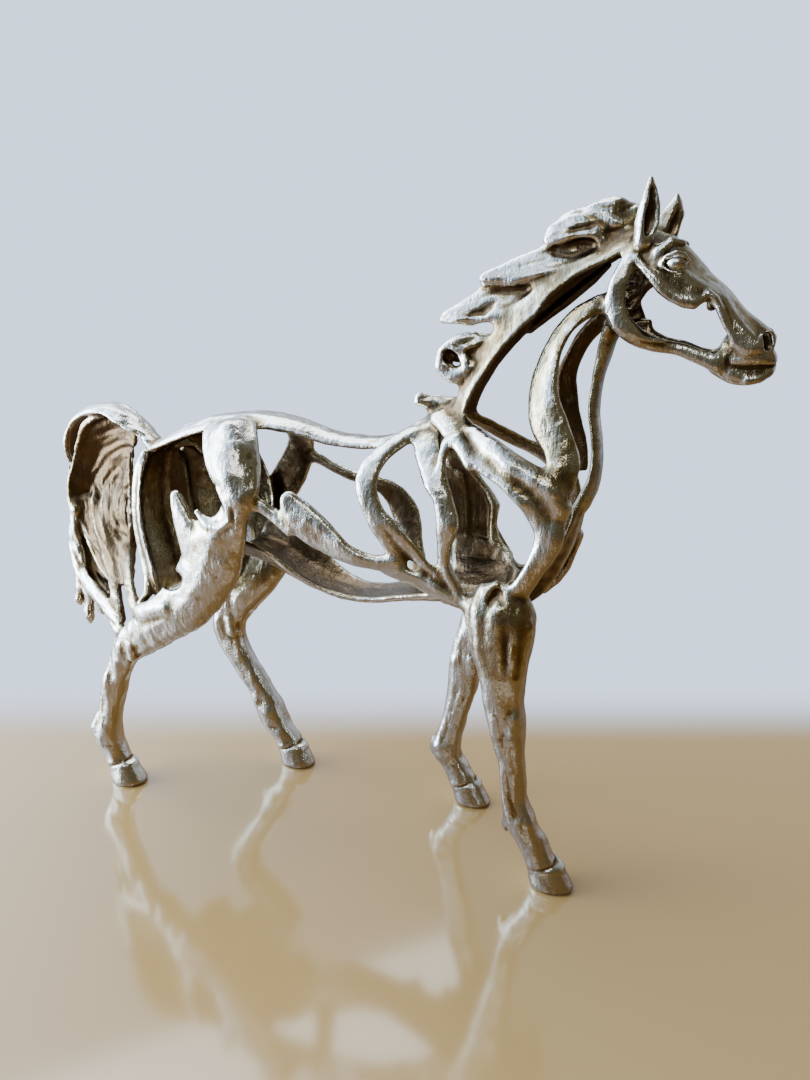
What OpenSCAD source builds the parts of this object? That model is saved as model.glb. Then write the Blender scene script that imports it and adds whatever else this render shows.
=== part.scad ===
// Openwork horse statuette: cast straps and shells joined into a standing horse.
// Frame: +X towards the head, +Y to the horse's left, +Z up, with the origin on the ground
// at the centre of the overall footprint. Millimetres.

/* [Size] */
// Height from the ground to the tips of the ears
statue_height = 300; // [240:5:420]
// Usual thickness of a cast strap
strap_t = 4; // [3:0.5:6]
// Usual thickness of a shell wall
shell_t = 3.2; // [2.5:0.1:5]

/* [Hoof] */
// Length of a hoof's sole, heel to toe
sole_l = 21; // [18:1:24]
// Width of a hoof's sole
sole_w = 16; // [14:1:20]
// Height of a hoof at the coronet
hoof_h = 13; // [11:1:15]
// Distance from the middle plane to the middle of each hoof
stance = 24; // [22:1:26]

/* [Steel pins] */
// Diameter of the pins that locate the legs and hooves
pin_d = 3; // [2:0.5:3]
// Length of a pin
pin_l = 16; // [12:1:18]
// Radial clearance of a pin in its bore
pin_gap = 0.05; // [0.03:0.01:0.1]

/* [Detail] */
// Sides of a strap's section
strap_sides = 10; // [8:2:12]
// Sections along the span between two stations
span_steps = 2; // [2:1:3]

/* [Hidden] */
drawn_height = 300;
size_k = statue_height / drawn_height;
footprint_middle = [5.6, -1.35, 0];
bronze = [0.72, 0.68, 0.60];
steel = [0.62, 0.63, 0.65];
leg_sides = 12;
flat_r = 400;

// ---------------------------------------------------------------- strap geometry
// A station is [x, y, z, width], and may go on with the thickness and the fold radius.
function filled(s, t, r) =
    [s[0], s[1], s[2], s[3], is_undef(s[4]) ? t : s[4], is_undef(s[5]) ? r : s[5]];

// Smooth curve from station b to station c, with their neighbours a and d.
function between(a, b, c, d, t) =
    (2 * b + (c - a) * t + (2 * a - 5 * b + 4 * c - d) * t * t
        + (3 * b - a - 3 * c + d) * t * t * t) / 2;
function smooth_path(p, n) = [
    for (i = [0 : len(p) - 2]) for (j = [0 : n - 1])
        between(p[max(i - 1, 0)], p[i], p[i + 1], p[min(i + 2, len(p) - 1)], j / n),
    p[len(p) - 1]];

function xyz(s) = [s[0], s[1], s[2]];
function unit(v) = v / norm(v);
function power(x, e) = sign(x) * pow(abs(x), e);

// Direction from the nearest point of the endless line through core[0] and core[1] to p.
function away(p, core) =
    let (along = unit(core[1] - core[0]), d = p - core[0])
    d - along * (d * along);

// The section of a strap: a flat bar with round edges, folded round an axis behind it.
// Past max_fold it runs on straight, which makes a channel.
max_fold = 85;
function section(s, along, out, sides) =
    let (n = unit(out - along * (out * along)), b = cross(along, n), r = s[5])
    [for (k = [0 : sides - 1])
        let (a = 360 * k / sides,
             across = power(cos(a), 0.8) * s[3] / 2,
             lift = power(sin(a), 0.7) * s[4] / 2,
             fold = max(-max_fold, min(max_fold, across / r * 180 / PI)),
             rest = across - fold * PI / 180 * r)
        xyz(s) + b * (r * sin(fold) + rest * cos(fold))
            - n * (r * (1 - cos(fold)) + abs(rest) * sin(abs(fold)))
            + (n * cos(fold) + b * sin(fold)) * lift];

// Closes an end with strips across the section, so that a folded section closes too.
function end_faces(first, sides, turned) =
    [for (k = [0 : sides / 2 - 1])
        let (a = k, b = k + 1, c = sides - k - 1, d = (sides - k) % sides,
             f = a == d ? [a, b, c] : b == c ? [a, b, d] : [a, b, c, d],
             g = [for (i = f) first + i])
        turned ? [for (i = [len(g) - 1 : -1 : 0]) g[i]] : g];

// A strap through the stations, from station number first to station number last. Its
// outer face looks away from the line core, or along face. t and r are the thickness and
// the fold radius of stations that state none. tips are the lengths of its rounded ends.
module strap(stations, t = strap_t, r = flat_r, core = undef, face = [0, -1, 0],
             first = 0, last = undef, sides = strap_sides, tips = [0, 0]) {
    path = smooth_path([for (s = stations) filled(s, t, r)], span_steps);
    start = first * span_steps;
    stop = is_undef(last) ? len(path) - 1 : last * span_steps;
    heading = [for (i = [0 : len(path) - 1])
        unit(xyz(path[min(i + 1, len(path) - 1)]) - xyz(path[max(i - 1, 0)]))];
    out = [for (s = path) is_undef(core) ? face : away(xyz(s), core)];
    function ring(i, grow, shift) = section(
        [for (k = [0 : 5])
            path[i][k] * (k == 3 || k == 4 ? grow : 1) + (k < 3 ? heading[i][k] * shift : 0)],
        heading[i], out[i], sides);
    near_tip = [for (g = tips[0] > 0 ? [0.35, 0.8] : []) ring(start, g, -tips[0] * (1 - g))];
    far_tip = [for (g = tips[1] > 0 ? [0.8, 0.35] : []) ring(stop, g, tips[1] * (1 - g))];
    rings = concat(near_tip, [for (i = [start : stop]) ring(i, 1, 0)], far_tip);
    walls = [for (i = [0 : len(rings) - 2]) for (k = [0 : sides - 1])
        let (a = i * sides + k, b = i * sides + (k + 1) % sides)
        each [[a, b, a + sides], [b, b + sides, a + sides]]];
    polyhedron([for (one = rings) each one],
               concat(walls, end_faces(0, sides, true),
                      end_faces((len(rings) - 1) * sides, sides, false)), convexity = 6);
}

function mirrored(stations, k = 1) = [for (s = stations) [s[0], -s[1], s[2], s[3] * k]];

// Every module below draws one piece. Where two pieces meet, one of them is cut round the
// other, so that they touch face to face. whole = true leaves a piece uncut.

// ---------------------------------------------------------------- hindquarters
barrel = [[-60, 0, 160], [60, 0, 165]];

module back_strap(whole = false) color(bronze)
    strap([[-104, 0, 184, 16], [-89, 0, 191.5, 20], [-68, 0, 200.5, 26], [-44, 0, 204.5, 28],
           [-21, 0, 201.5, 22], [-6, 0, 197, 19], [12, 0, 195.5, 18], [27, 0, 198, 21],
           [40, 0, 206, 24], [54, 0, 212, 22]], t = 4.5, r = 16, face = [0, 0, 1]);

module rump_shell(whole = false) color(bronze) difference() {
    strap([[-102, 0, 186, 28], [-108, 0, 175, 44], [-111.5, 0, 160, 50], [-112, 0, 146, 53],
           [-110, 0, 132, 54], [-107, 0, 118, 54], [-106, 0, 106, 50]],
          t = shell_t, r = 23, face = [-1, 0, 0]);
    if (!whole) {
        back_strap(true);
        left_haunch_wall(true);
        right_hindleg(true);
    }
}

module right_hip_strap(whole = false) color(bronze) difference() {
    strap([[-51, -13, 202.5, 25], [-48, -19, 200.5, 28], [-43, -27, 194, 29], [-39, -31, 185, 27],
           [-36, -33, 176, 21], [-37, -34, 167, 15], [-41, -34, 158, 19], [-46, -34, 150, 26]],
          t = 6, r = 26, core = barrel);
    if (!whole) {
        back_strap(true);
        right_thigh(true);
    }
}

// The right hind leg is one run from the thigh to the pastern, cast in two lengths. The
// other legs are made the same way.
hind_right = [[-46, -34, 160, 20, 5, 40], [-51, -34, 147, 32, 6, 34], [-57, -33, 134, 33, 8, 30],
              [-65, -31, 122, 30, 11, 30], [-76, -28, 111, 27, 15, 60], [-91, -26, 100, 22.5, 16, 90],
              [-104, -24, 90, 20.5, 15, 90], [-113, -24, 83, 17.5, 13, 90],
              [-119, -24, 73, 14, 12, 90], [-124, -24, 61, 13, 11, 90], [-129, -24, 47, 13.5, 11, 90],
              [-133, -24, 36, 15, 12.5, 90], [-134, -24, 28, 16, 13.5, 90],
              [-132, -24, 21, 13.5, 13, 90], [-128, -24, 12, 12.5, 11.5, 90]];
hind_left = [[-58, 27, 122, 26, 10, 60], [-63, 26, 111, 23, 14, 90], [-73, 25, 99, 20.5, 15, 90],
             [-81, 24, 88, 20, 14, 90], [-83, 24, 78, 20, 13, 90], [-79, 24, 66, 15, 12, 90],
             [-72, 24, 54, 13, 11, 90], [-66, 24, 44, 13, 11.5, 90], [-61, 24, 34, 15, 12.5, 90],
             [-58, 24, 26.5, 15.5, 13.5, 90], [-53, 24, 20, 12.5, 12.5, 90],
             [-47, 24, 12, 12.5, 11.5, 90]];
fore_right = [[84, -26, 143, 20, 8, 60], [83, -25.5, 134, 30, 15, 60], [83.5, -25, 125, 30, 18, 90],
              [84, -25, 115, 26, 18.5, 90], [85, -25, 104, 21.5, 17, 90], [86, -25, 92, 18, 15, 90],
              [88, -25, 81, 17.5, 14.5, 90], [89, -25, 73, 15, 13, 90], [90, -25, 65, 12.5, 11, 90],
              [92, -24.5, 54, 10.8, 10, 90], [93, -24, 45, 11, 10, 90], [94, -24, 37, 13.5, 12, 90],
              [96.5, -24, 30, 14.5, 13, 90], [101, -24, 23, 12.5, 12, 90], [107, -24, 12, 12.5, 11.5, 90]];
fore_left = [[74, 25, 137, 18, 6, 60], [70, 24, 127, 22, 14, 60], [65, 23.5, 115, 21, 16, 90],
             [61, 23, 103, 18.5, 15, 90], [57.5, 23, 91, 17.5, 14, 90], [55, 23, 77, 16.5, 14, 90],
             [54, 23, 67, 16, 13.5, 90], [51, 23.5, 54, 13, 12, 90], [48, 24, 41, 13, 12, 90],
             [46, 24, 31, 15.5, 13.5, 90], [48, 24, 23.5, 13.5, 13, 90], [56, 24, 12, 12.5, 11.5, 90]];
// The station at which each leg is split.
hind_right_split = 5;
hind_left_split = 2;
fore_right_split = 4;
fore_left_split = 3;

module right_thigh(whole = false) color(bronze) difference() {
    strap(hind_right, last = hind_right_split, sides = leg_sides);
    if (!whole) leg_pins(pin_gap);
}

module right_thigh_finger(whole = false) color(bronze) difference() {
    strap([[-71, -30, 171, 5], [-67.5, -32, 161, 10], [-63, -33, 149, 14], [-60, -33, 138, 16]],
          t = 5, core = barrel, tips = [2, 0]);
    if (!whole) right_thigh(true);
}

module left_haunch_wall(whole = false) color(bronze) difference() {
    strap([[-79, 7, 196.5, 26], [-78, 18, 191, 44], [-77, 28, 176, 55], [-76, 31, 158, 60],
           [-76, 30, 139, 56], [-74, 28, 123, 46], [-68, 26, 110, 26]],
          t = shell_t, r = 46, core = barrel);
    if (!whole) {
        back_strap(true);
        left_thigh(true);
        left_hindleg(true);
    }
}

module left_hip_strap(whole = false) color(bronze) difference() {
    strap([[-29, 9, 197, 12], [-31, 20, 189, 14], [-38, 27, 177, 17], [-48, 31, 163, 20],
           [-56, 32, 150, 18]], core = barrel);
    if (!whole) {
        back_strap(true);
        left_haunch_wall(true);
    }
}

module left_thigh(whole = false) color(bronze) difference() {
    strap(hind_left, last = hind_left_split, sides = leg_sides, tips = [3, 0]);
    if (!whole) leg_pins(pin_gap);
}

// ---------------------------------------------------------------- barrel
module right_flank_strap(whole = false) color(bronze) difference() {
    strap([[-38, -33, 170, 9], [-28, -32, 170, 7.5], [-21, -31, 166, 7], [-10, -31, 159, 9]],
          core = barrel);
    if (!whole) {
        right_hip_strap(true);
        right_belly_strap(true);
    }
}

module right_belly_strap(whole = false) color(bronze)
    strap([[-13, -31, 176, 7], [-10, -31, 170, 14], [-4, -31, 163, 17.5], [4, -30, 157, 17],
           [12, -30, 152, 12.5], [21, -29, 149, 9], [29, -28, 148, 8], [38, -27, 149, 8]],
          t = 5, r = 30, core = barrel, tips = [2, 0]);

module belly_trough(whole = false) color(bronze) difference() {
    strap([[-54, 0, 136, 58], [-42, 0, 134, 58], [-32, 0, 131, 53], [-22, 0, 126.5, 44],
           [-10, 0, 122, 35], [4, 0, 119.5, 28], [18, 0, 120, 27], [32, 0, 123, 30],
           [46, 0, 125, 36], [60, 0, 127, 42], [74, 0, 127, 44]],
          t = shell_t, r = 22, face = [0, 0, -1]);
    if (!whole) {
        right_thigh(true);
        left_thigh(true);
        right_forearm(true);
        left_forearm(true);
    }
}

module right_rib_strap(whole = false) color(bronze) difference() {
    strap([[39, -9, 203, 9], [32, -18, 198, 9], [27, -26, 192, 10], [25, -30, 185, 11],
           [26, -31, 178, 10.5], [29, -31, 170, 10], [32, -30, 163, 8], [36, -28, 155, 6.5],
           [39, -27, 148, 7]], t = 4.5, core = barrel);
    if (!whole) {
        back_strap(true);
        right_belly_strap(true);
        right_shoulder_strap(true);
    }
}

module right_rib_web(whole = false) color(bronze) difference() {
    strap([[31, -31, 173, 4], [35, -31, 168, 5], [40, -30, 162, 7], [45, -28, 155, 7.5],
           [50, -27, 149, 7], [56, -25, 141, 7]], t = 3.5, core = barrel);
    if (!whole) {
        right_rib_strap(true);
        right_shoulder_strap(true);
        right_elbow_strap(true);
    }
}

module left_rib_strap(whole = false) color(bronze) difference() {
    strap([[-39, 27, 179, 10], [-28, 26, 180, 9], [-20, 27, 176, 7], [-8, 28, 171, 7],
           [5, 28, 169, 8], [15, 29, 163, 14], [21, 29, 153, 16], [25, 27, 143, 11],
           [29, 22, 133, 10], [32, 11, 126, 10]], t = 3.5, core = barrel);
    if (!whole) {
        left_hip_strap(true);
        belly_trough(true);
    }
}

// ---------------------------------------------------------------- shoulders and breast
module right_elbow_strap(whole = false) color(bronze) difference() {
    strap([[32, -27, 146, 8], [42, -26, 143, 10], [51, -25, 139, 11], [60, -23, 134, 12],
           [71, -21, 130, 13]], core = barrel);
    if (!whole) {
        right_belly_strap(true);
        right_rib_strap(true);
        right_shoulder_strap(true);
        right_forearm(true);
        belly_trough(true);
    }
}

module right_shoulder_strap(whole = false) color(bronze) difference() {
    strap([[43, -4, 206, 13], [46, -13, 200, 13], [50, -21, 192, 12], [54, -26, 186, 10.5],
           [58, -28, 180, 9], [60, -29, 173, 10.5], [60, -29, 167, 10], [59, -28, 161, 7.5],
           [58, -27, 154, 6], [60, -26, 146, 6.5], [65, -25, 137, 6.5], [72, -25, 128, 8]],
          t = 4.5, core = barrel);
    if (!whole) {
        back_strap(true);
        right_forearm(true);
    }
}

scapula = [[50, -5, 211, 14], [56, -10, 208, 15], [63, -16, 204, 16], [70, -21, 199, 15],
           [79, -25, 194, 13.5], [88, -27, 190, 15], [96, -28, 184, 17], [100, -28, 177, 16.5],
           [102, -28, 169, 13], [100, -28, 161, 11], [96, -28, 152, 9.5], [91, -27, 143, 10],
           [86, -26, 134, 12]];
left_scapula_k = 0.7;
module right_scapula_strap(whole = false) color(bronze) difference() {
    strap(scapula, t = 5, r = 40, core = barrel);
    if (!whole) {
        back_strap(true);
        right_forearm(true);
    }
}

module left_scapula_strap(whole = false) color(bronze) difference() {
    strap(concat(mirrored(scapula, left_scapula_k), [[80, 25, 130, 10]]),
          t = 4.5, r = 40, core = barrel);
    if (!whole) {
        back_strap(true);
        right_scapula_strap(true);
        left_forearm(true);
    }
}

module left_shoulder_wall(whole = false) color(bronze) difference() {
    strap([[44, 8, 205, 10], [47, 19, 192, 10], [52, 26, 175, 16], [57, 28, 162, 20],
           [58, 28, 150, 20], [63, 27, 138, 26], [66, 25, 125, 26]],
          t = shell_t, r = 50, core = barrel);
    if (!whole) {
        back_strap(true);
        left_forearm(true);
        belly_trough(true);
    }
}

module breast_shell(whole = false) color(bronze) difference() {
    strap([[111, 0, 175, 22], [109.5, 0, 163, 30], [106, 0, 151, 38], [101, 0, 140, 44],
           [93, 0, 131, 46], [82, 0, 126, 44], [72, 0, 126, 42]],
          t = shell_t, r = 20, face = [1, 0, -0.8]);
    if (!whole) {
        right_scapula_strap(true);
        left_scapula_strap(true);
        right_forearm(true);
        left_forearm(true);
        belly_trough(true);
    }
}

module breast_lobe(whole = false) color(bronze) difference() {
    strap([[109, 10, 160, 6], [106, 15, 152, 8], [102, 18, 143, 9], [97, 20, 134, 9],
           [91, 20, 127, 8]], t = 4.5, face = [0.7, 0.7, 0], tips = [2, 2]);
    if (!whole) {
        breast_shell(true);
        left_scapula_strap(true);
        left_forearm(true);
    }
}

module right_forearm(whole = false) color(bronze) difference() {
    strap(fore_right, last = fore_right_split, sides = leg_sides, tips = [3, 0]);
    if (!whole) leg_pins(pin_gap);
}

module left_forearm(whole = false) color(bronze) difference() {
    strap(fore_left, last = fore_left_split, sides = leg_sides, tips = [3, 0]);
    if (!whole) leg_pins(pin_gap);
}

// ---------------------------------------------------------------- neck
module crest(whole = false) color(bronze) difference() {
    strap([[124, 0, 281.8, 19], [116, 0, 278.5, 24], [107, 0, 274.5, 29], [98, 0, 269.5, 33],
           [88, 0, 263.5, 35], [79, 0, 255.5, 35], [72, 0, 248, 34], [66, 0, 239, 32],
           [60, 0, 228, 30], [55.5, 0, 218, 29], [53, 0, 208, 28]],
          t = shell_t, r = 10, core = [[135, 0, 260], [100, 0, 200]]);
    if (!whole) {
        back_strap(true);
        right_scapula_strap(true);
        left_scapula_strap(true);
        face_shell(true);
        mane_lock_1(true);
        mane_lock_2(true);
        mane_lock_3(true);
        mane_lock_4(true);
        mane_curl(true);
        mane_lock_5(true);
    }
}

neck_core = [[125, 0, 262], [95, 0, 185]];
module right_neck_strap(whole = false) color(bronze) difference() {
    strap([[119, -9, 257.5, 9], [113, -9.5, 256, 9], [107, -12, 253, 10], [101, -14, 247, 11],
           [97, -16, 239, 12.5], [95, -18, 229, 14], [95, -20, 220, 15.5], [98, -22, 212, 16.5],
           [103, -24, 204, 15], [106, -26, 196, 14], [104, -27, 187, 14]],
          t = 4.5, r = 30, core = neck_core);
    if (!whole) {
        right_scapula_strap(true);
        right_jaw(true);
        throat_strap(true);
    }
}

module left_neck_strap(whole = false) color(bronze) difference() {
    strap([[119, 9, 256, 9], [111, 10, 249, 9], [105, 12, 243, 9], [101, 13, 235, 9.5],
           [98, 15, 226, 10], [99, 17, 214, 10.5], [101, 20, 203, 11.5], [103, 23, 193, 12],
           [103, 26, 184, 13]], core = neck_core);
    if (!whole) {
        left_scapula_strap(true);
        left_jaw(true);
        throat_strap(true);
    }
}

module throat_strap(whole = false) color(bronze) difference() {
    strap([[121, 0, 249, 24], [117, 0, 242, 18], [114.5, 0, 233, 13], [113, 0, 223, 13],
           [113, 0, 212, 13], [115, 0, 201, 13], [115.5, 0, 191, 14], [114, 0, 181, 17],
           [111.5, 0, 173, 21]], t = 5, r = 9, face = [1, 0, 0]);
    if (!whole) {
        breast_shell(true);
        right_jaw(true);
        left_jaw(true);
    }
}

// ---------------------------------------------------------------- head
head_core = [[120, 0, 262], [160, 0, 232]];
module face_shell(whole = false) color(bronze) difference() {
    strap([[124, 0, 281.5, 20, 3, 9], [130, 0, 281, 36, 3, 11], [137, 0, 278.5, 46, 3, 12],
           [143, 0, 274, 47, 3, 12], [149, 0, 268.5, 42, 3, 11], [154, 0, 263.5, 31, 3, 10],
           [158, 0, 259.5, 25, 3, 9.5], [162, 0, 255.5, 29, 3, 9], [167, 0, 251, 32, 3, 8.5],
           [172, 0, 247, 31, 3.5, 8], [175, 0, 244, 22, 4, 8]],
          sides = leg_sides, core = head_core, tips = [0, 1.5]);
    if (!whole) eyes(true);
}

module muzzle(whole = false) color(bronze) difference() {
    union() {
        strap([[157, 0, 241.5, 9, 12, 90], [162, 0, 239.5, 14, 12.4, 90],
               [167.5, 0, 237.5, 15.5, 12.4, 90], [172.5, 0, 236, 14, 12, 90],
               [175.5, 0, 236.5, 10, 10, 90]], sides = leg_sides, tips = [0, 1.5]);
        strap([[155, 0, 236, 8, 12, 90], [161, 0, 232.5, 9, 14, 90], [167, 0, 230.5, 8, 13, 90],
               [172.5, 0, 231.5, 6, 11, 90]], sides = leg_sides, tips = [0, 1.5]);
    }
    if (!whole) face_shell(true);
}

module right_jaw(whole = false) color(bronze) difference() {
    strap([[126, -8, 277, 6], [122.5, -10, 270, 6.5], [119.5, -12, 264, 7.5],
           [118.8, -12, 257, 8.4], [120.5, -12, 251, 8.8], [124, -11, 246.5, 8],
           [129, -9, 243.3, 6.8], [136, -7.5, 241, 5.8], [143, -6.5, 240, 5.6],
           [150, -6.5, 237.5, 6.2], [158, -6, 235, 8]]);
    if (!whole) {
        crest(true);
        face_shell(true);
        muzzle(true);
    }
}

module left_jaw(whole = false) color(bronze) difference() {
    strap([[125, 8, 276, 8], [123.5, 10, 270, 10], [122.5, 12, 264, 12], [121.5, 12, 257, 10],
           [123, 12, 251, 11], [126, 11, 246, 10], [131, 9, 243, 7], [137, 7.5, 241, 5.5],
           [143, 6.5, 240, 5.4], [150, 6.5, 237.5, 6], [158, 6, 235, 8]], t = 3.5);
    if (!whole) {
        crest(true);
        face_shell(true);
        muzzle(true);
    }
}

module right_ear(whole = false) color(bronze) difference() {
    strap([[125, -8, 278, 5], [126, -9.5, 284, 7], [127.5, -11, 290, 8], [128, -12, 295.5, 5.5],
           [128, -12, 299.5, 2.2]], t = 2, r = 4.2, face = [-0.5, 1, 0], tips = [0, 0.8]);
    if (!whole) {
        crest(true);
        face_shell(true);
        right_jaw(true);
    }
}

module left_ear(whole = false) color(bronze) difference() {
    strap([[132, 8, 276, 9], [133, 9.5, 282, 12], [134, 10.5, 287, 12], [135.5, 11.5, 291, 7],
           [136.5, 12, 293.5, 2.5]], t = 2, r = 4.5, face = [0.7, -0.7, 0.2], tips = [0, 0.8]);
    if (!whole) face_shell(true);
}

eye_r = 3;
module eyes(whole = false) color(bronze)
    for (side = [-1, 1]) translate([139, side * 11.6, 270.5]) sphere(r = eye_r, $fn = 32);

// ---------------------------------------------------------------- mane
module mane_lock_1(whole = false) color(bronze) difference() {
    strap([[126, 0, 283, 8], [121, -1, 286.5, 12], [115, -1.5, 288.7, 13], [109, -2, 289.5, 9],
           [105, -2, 289, 4]], t = 5, face = [0, -1, 0.7], tips = [0, 1.5]);
    if (!whole) {
        face_shell(true);
        mane_lock_2(true);
    }
}

module mane_lock_2(whole = false) color(bronze)
    strap([[119, 0, 279.5, 10], [113, -2, 283, 13], [107, -3, 285, 13.5], [100, -3.5, 284.5, 12],
           [94, -4, 281.5, 9], [90, -4, 278.5, 5]], t = 4.5, face = [0, -1, 0.6], tips = [0, 1.5]);

module mane_lock_3(whole = false) color(bronze) difference() {
    strap([[109, 0, 275, 10], [102, -2, 274.5, 12], [93, -3.5, 272, 14], [83, -4, 269, 13],
           [73, -4.5, 266.5, 8.5], [64.5, -4.5, 264.5, 3.5]],
          t = 4.5, face = [0, -1, 0.4], tips = [0, 1.5]);
    if (!whole) mane_lock_2(true);
}

module mane_lock_4(whole = false) color(bronze) difference() {
    strap([[88, 0, 262, 10], [80, -2, 259.5, 14], [71, -3.5, 256.5, 17], [63, -4, 253.5, 14],
           [55, -4.5, 251, 9], [48.5, -4.5, 249, 4.5]],
          t = 4.5, face = [0, -1, 0.4], tips = [0, 1.5]);
    if (!whole) mane_lock_3(true);
}

module mane_curl(whole = false) color(bronze)
    strap([[70, -2, 238, 9], [63.5, -4.5, 240.5, 8.5], [57, -6, 240, 8], [51, -6, 236, 8],
           [50, -6, 230.5, 7.5], [54, -6, 227, 7], [59.5, -6, 228, 6], [61.5, -6.5, 232, 5],
           [58.5, -7, 234.5, 4]], t = 6, tips = [0, 1]);

module mane_lock_5(whole = false) color(bronze) difference() {
    strap([[53, -0.5, 213.5, 8], [49, -1, 213.5, 8], [42, -2, 215, 8], [37, -3, 216.5, 7]],
          t = 5, tips = [0, 2]);
    if (!whole) {
        back_strap(true);
        right_scapula_strap(true);
        left_scapula_strap(true);
    }
}

// ---------------------------------------------------------------- tail
module tail_crown(whole = false) color(bronze) difference() {
    strap([[-100, 0, 185, 13], [-108, 1, 191, 17], [-116, 2, 197, 21], [-125, 3, 202, 22],
           [-135, 4, 203.5, 21], [-145, 5, 201, 20], [-154, 6, 196, 18], [-160.5, 6, 188, 15],
           [-163, 6, 179, 11], [-162.5, 5, 171, 6]],
          t = 3.5, r = 14, core = [[-128, -20, 170], [-128, 20, 170]], tips = [0, 1.5]);
    if (!whole) {
        back_strap(true);
        rump_shell(true);
    }
}

module tail_shell(whole = false) color(bronze) difference() {
    strap([[-114, 1, 188, 12], [-120, 3, 189, 24], [-128, 5, 184, 37], [-136, 7, 174, 45],
           [-141, 8, 161, 48], [-143.5, 8, 148, 47], [-145, 7, 134, 42], [-144.5, 4, 121, 33],
           [-141, -1, 110, 24], [-134, -8, 102, 15]], t = shell_t, r = 24, face = [0, 1, 0]);
    if (!whole) tail_crown(true);
}

module tail_outer_strand(whole = false) color(bronze) difference() {
    strap([[-159, 0, 148, 5], [-161, -1, 134, 8], [-160.5, -2, 121, 10], [-156, -5, 111, 10.5],
           [-147, -9, 105, 10], [-137, -13, 100, 9], [-128, -17, 96, 9], [-121, -21, 89, 8.5],
           [-118, -23, 80, 6]], tips = [1, 0]);
    if (!whole) {
        tail_shell(true);
        right_hindleg(true);
    }
}

module tail_middle_strand(whole = false) color(bronze) difference() {
    strap([[-149, 4.5, 153, 4], [-145, 2, 140, 5.5], [-139, -2, 126, 6.5], [-132, -8, 113, 7],
           [-126, -14, 103, 7], [-121, -19, 94, 6]], tips = [1, 0]);
    if (!whole) {
        tail_shell(true);
        tail_outer_strand(true);
    }
}

module tail_inner_strand(whole = false) color(bronze) difference() {
    strap([[-126, 2, 140, 5], [-125.5, -2, 128, 7], [-121.5, -9, 118, 8], [-115, -16, 109, 8],
           [-106, -22, 100, 8]], tips = [1, 0]);
    if (!whole) {
        tail_shell(true);
        right_hindleg(true);
        rump_shell(true);
    }
}

module tail_fringe(whole = false) color(bronze) difference() {
    union() {
        strap([[-157, -5, 112, 6], [-159, -6, 101, 5], [-160, -6, 94, 2]], tips = [0, 1]);
        strap([[-150, -7, 107, 7], [-152, -7, 95, 6], [-153, -8, 85, 2]], tips = [0, 1]);
        strap([[-144, -9, 104, 6], [-142, -9.5, 96, 4.5], [-141, -10, 91, 2]], tips = [0, 1]);
    }
    if (!whole) {
        tail_outer_strand(true);
        tail_shell(true);
    }
}

// ---------------------------------------------------------------- lower legs and hooves
module right_foreleg(whole = false) color(bronze) difference() {
    strap(fore_right, first = fore_right_split, sides = leg_sides);
    if (!whole) {
        right_fore_hoof(true);
        leg_pins(pin_gap);
        hoof_pins(pin_gap);
    }
}

module left_foreleg(whole = false) color(bronze) difference() {
    strap(fore_left, first = fore_left_split, sides = leg_sides);
    if (!whole) {
        left_fore_hoof(true);
        leg_pins(pin_gap);
        hoof_pins(pin_gap);
    }
}

module right_hindleg(whole = false) color(bronze) difference() {
    strap(hind_right, first = hind_right_split, sides = leg_sides);
    if (!whole) {
        right_hind_hoof(true);
        leg_pins(pin_gap);
        hoof_pins(pin_gap);
    }
}

module left_hindleg(whole = false) color(bronze) difference() {
    strap(hind_left, first = hind_left_split, sides = leg_sides);
    if (!whole) {
        left_hind_hoof(true);
        leg_pins(pin_gap);
        hoof_pins(pin_gap);
    }
}

// A hoof is a stack of level ovals from the sole to the coronet, longer towards the toe.
// Each level is a share of the height and a share of the sole's size.
hoof_levels = [[0, 0.94], [0.08, 1], [0.45, 0.93], [0.8, 0.84], [0.92, 0.9], [1, 0.8]];
hoof_sides = 14;
toe_k = 1.08;
heel_k = 0.88;
function hoof_ring(middle, k) = [for (i = [0 : hoof_sides - 1])
    let (a = 360 * i / hoof_sides, reach = cos(a) > 0 ? toe_k : heel_k)
    middle + k * [reach * cos(a) * sole_l / 2, power(sin(a), 0.9) * sole_w / 2, 0]];
module hoof(place) {
    sole = [place[0], place[2] * stance, 0];
    coronet = [place[1], place[2] * stance, hoof_h];
    top = (len(hoof_levels) - 1) * hoof_sides;
    walls = [for (i = [0 : len(hoof_levels) - 2]) for (k = [0 : hoof_sides - 1])
        let (a = i * hoof_sides + k, b = i * hoof_sides + (k + 1) % hoof_sides)
        each [[a, a + hoof_sides, b], [b, a + hoof_sides, b + hoof_sides]]];
    difference() {
        polyhedron([for (l = hoof_levels) each hoof_ring(sole + (coronet - sole) * l[0], l[1])],
                   concat(walls, [[for (k = [0 : hoof_sides - 1]) k]],
                          [[for (k = [hoof_sides - 1 : -1 : 0]) top + k]]), convexity = 2);
        children();
    }
}
// Where each hoof's sole and coronet are centred along x, and its side of the middle plane.
fore_right_hoof = [111, 107, -1];
fore_left_hoof = [60, 55, 1];
hind_right_hoof = [-124, -128, -1];
hind_left_hoof = [-44, -47.5, 1];
module right_fore_hoof(whole = false) color(bronze)
    hoof(fore_right_hoof) if (!whole) hoof_pins(pin_gap);
module left_fore_hoof(whole = false) color(bronze)
    hoof(fore_left_hoof) if (!whole) hoof_pins(pin_gap);
module right_hind_hoof(whole = false) color(bronze)
    hoof(hind_right_hoof) if (!whole) hoof_pins(pin_gap);
module left_hind_hoof(whole = false) color(bronze)
    hoof(hind_left_hoof) if (!whole) hoof_pins(pin_gap);

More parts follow.
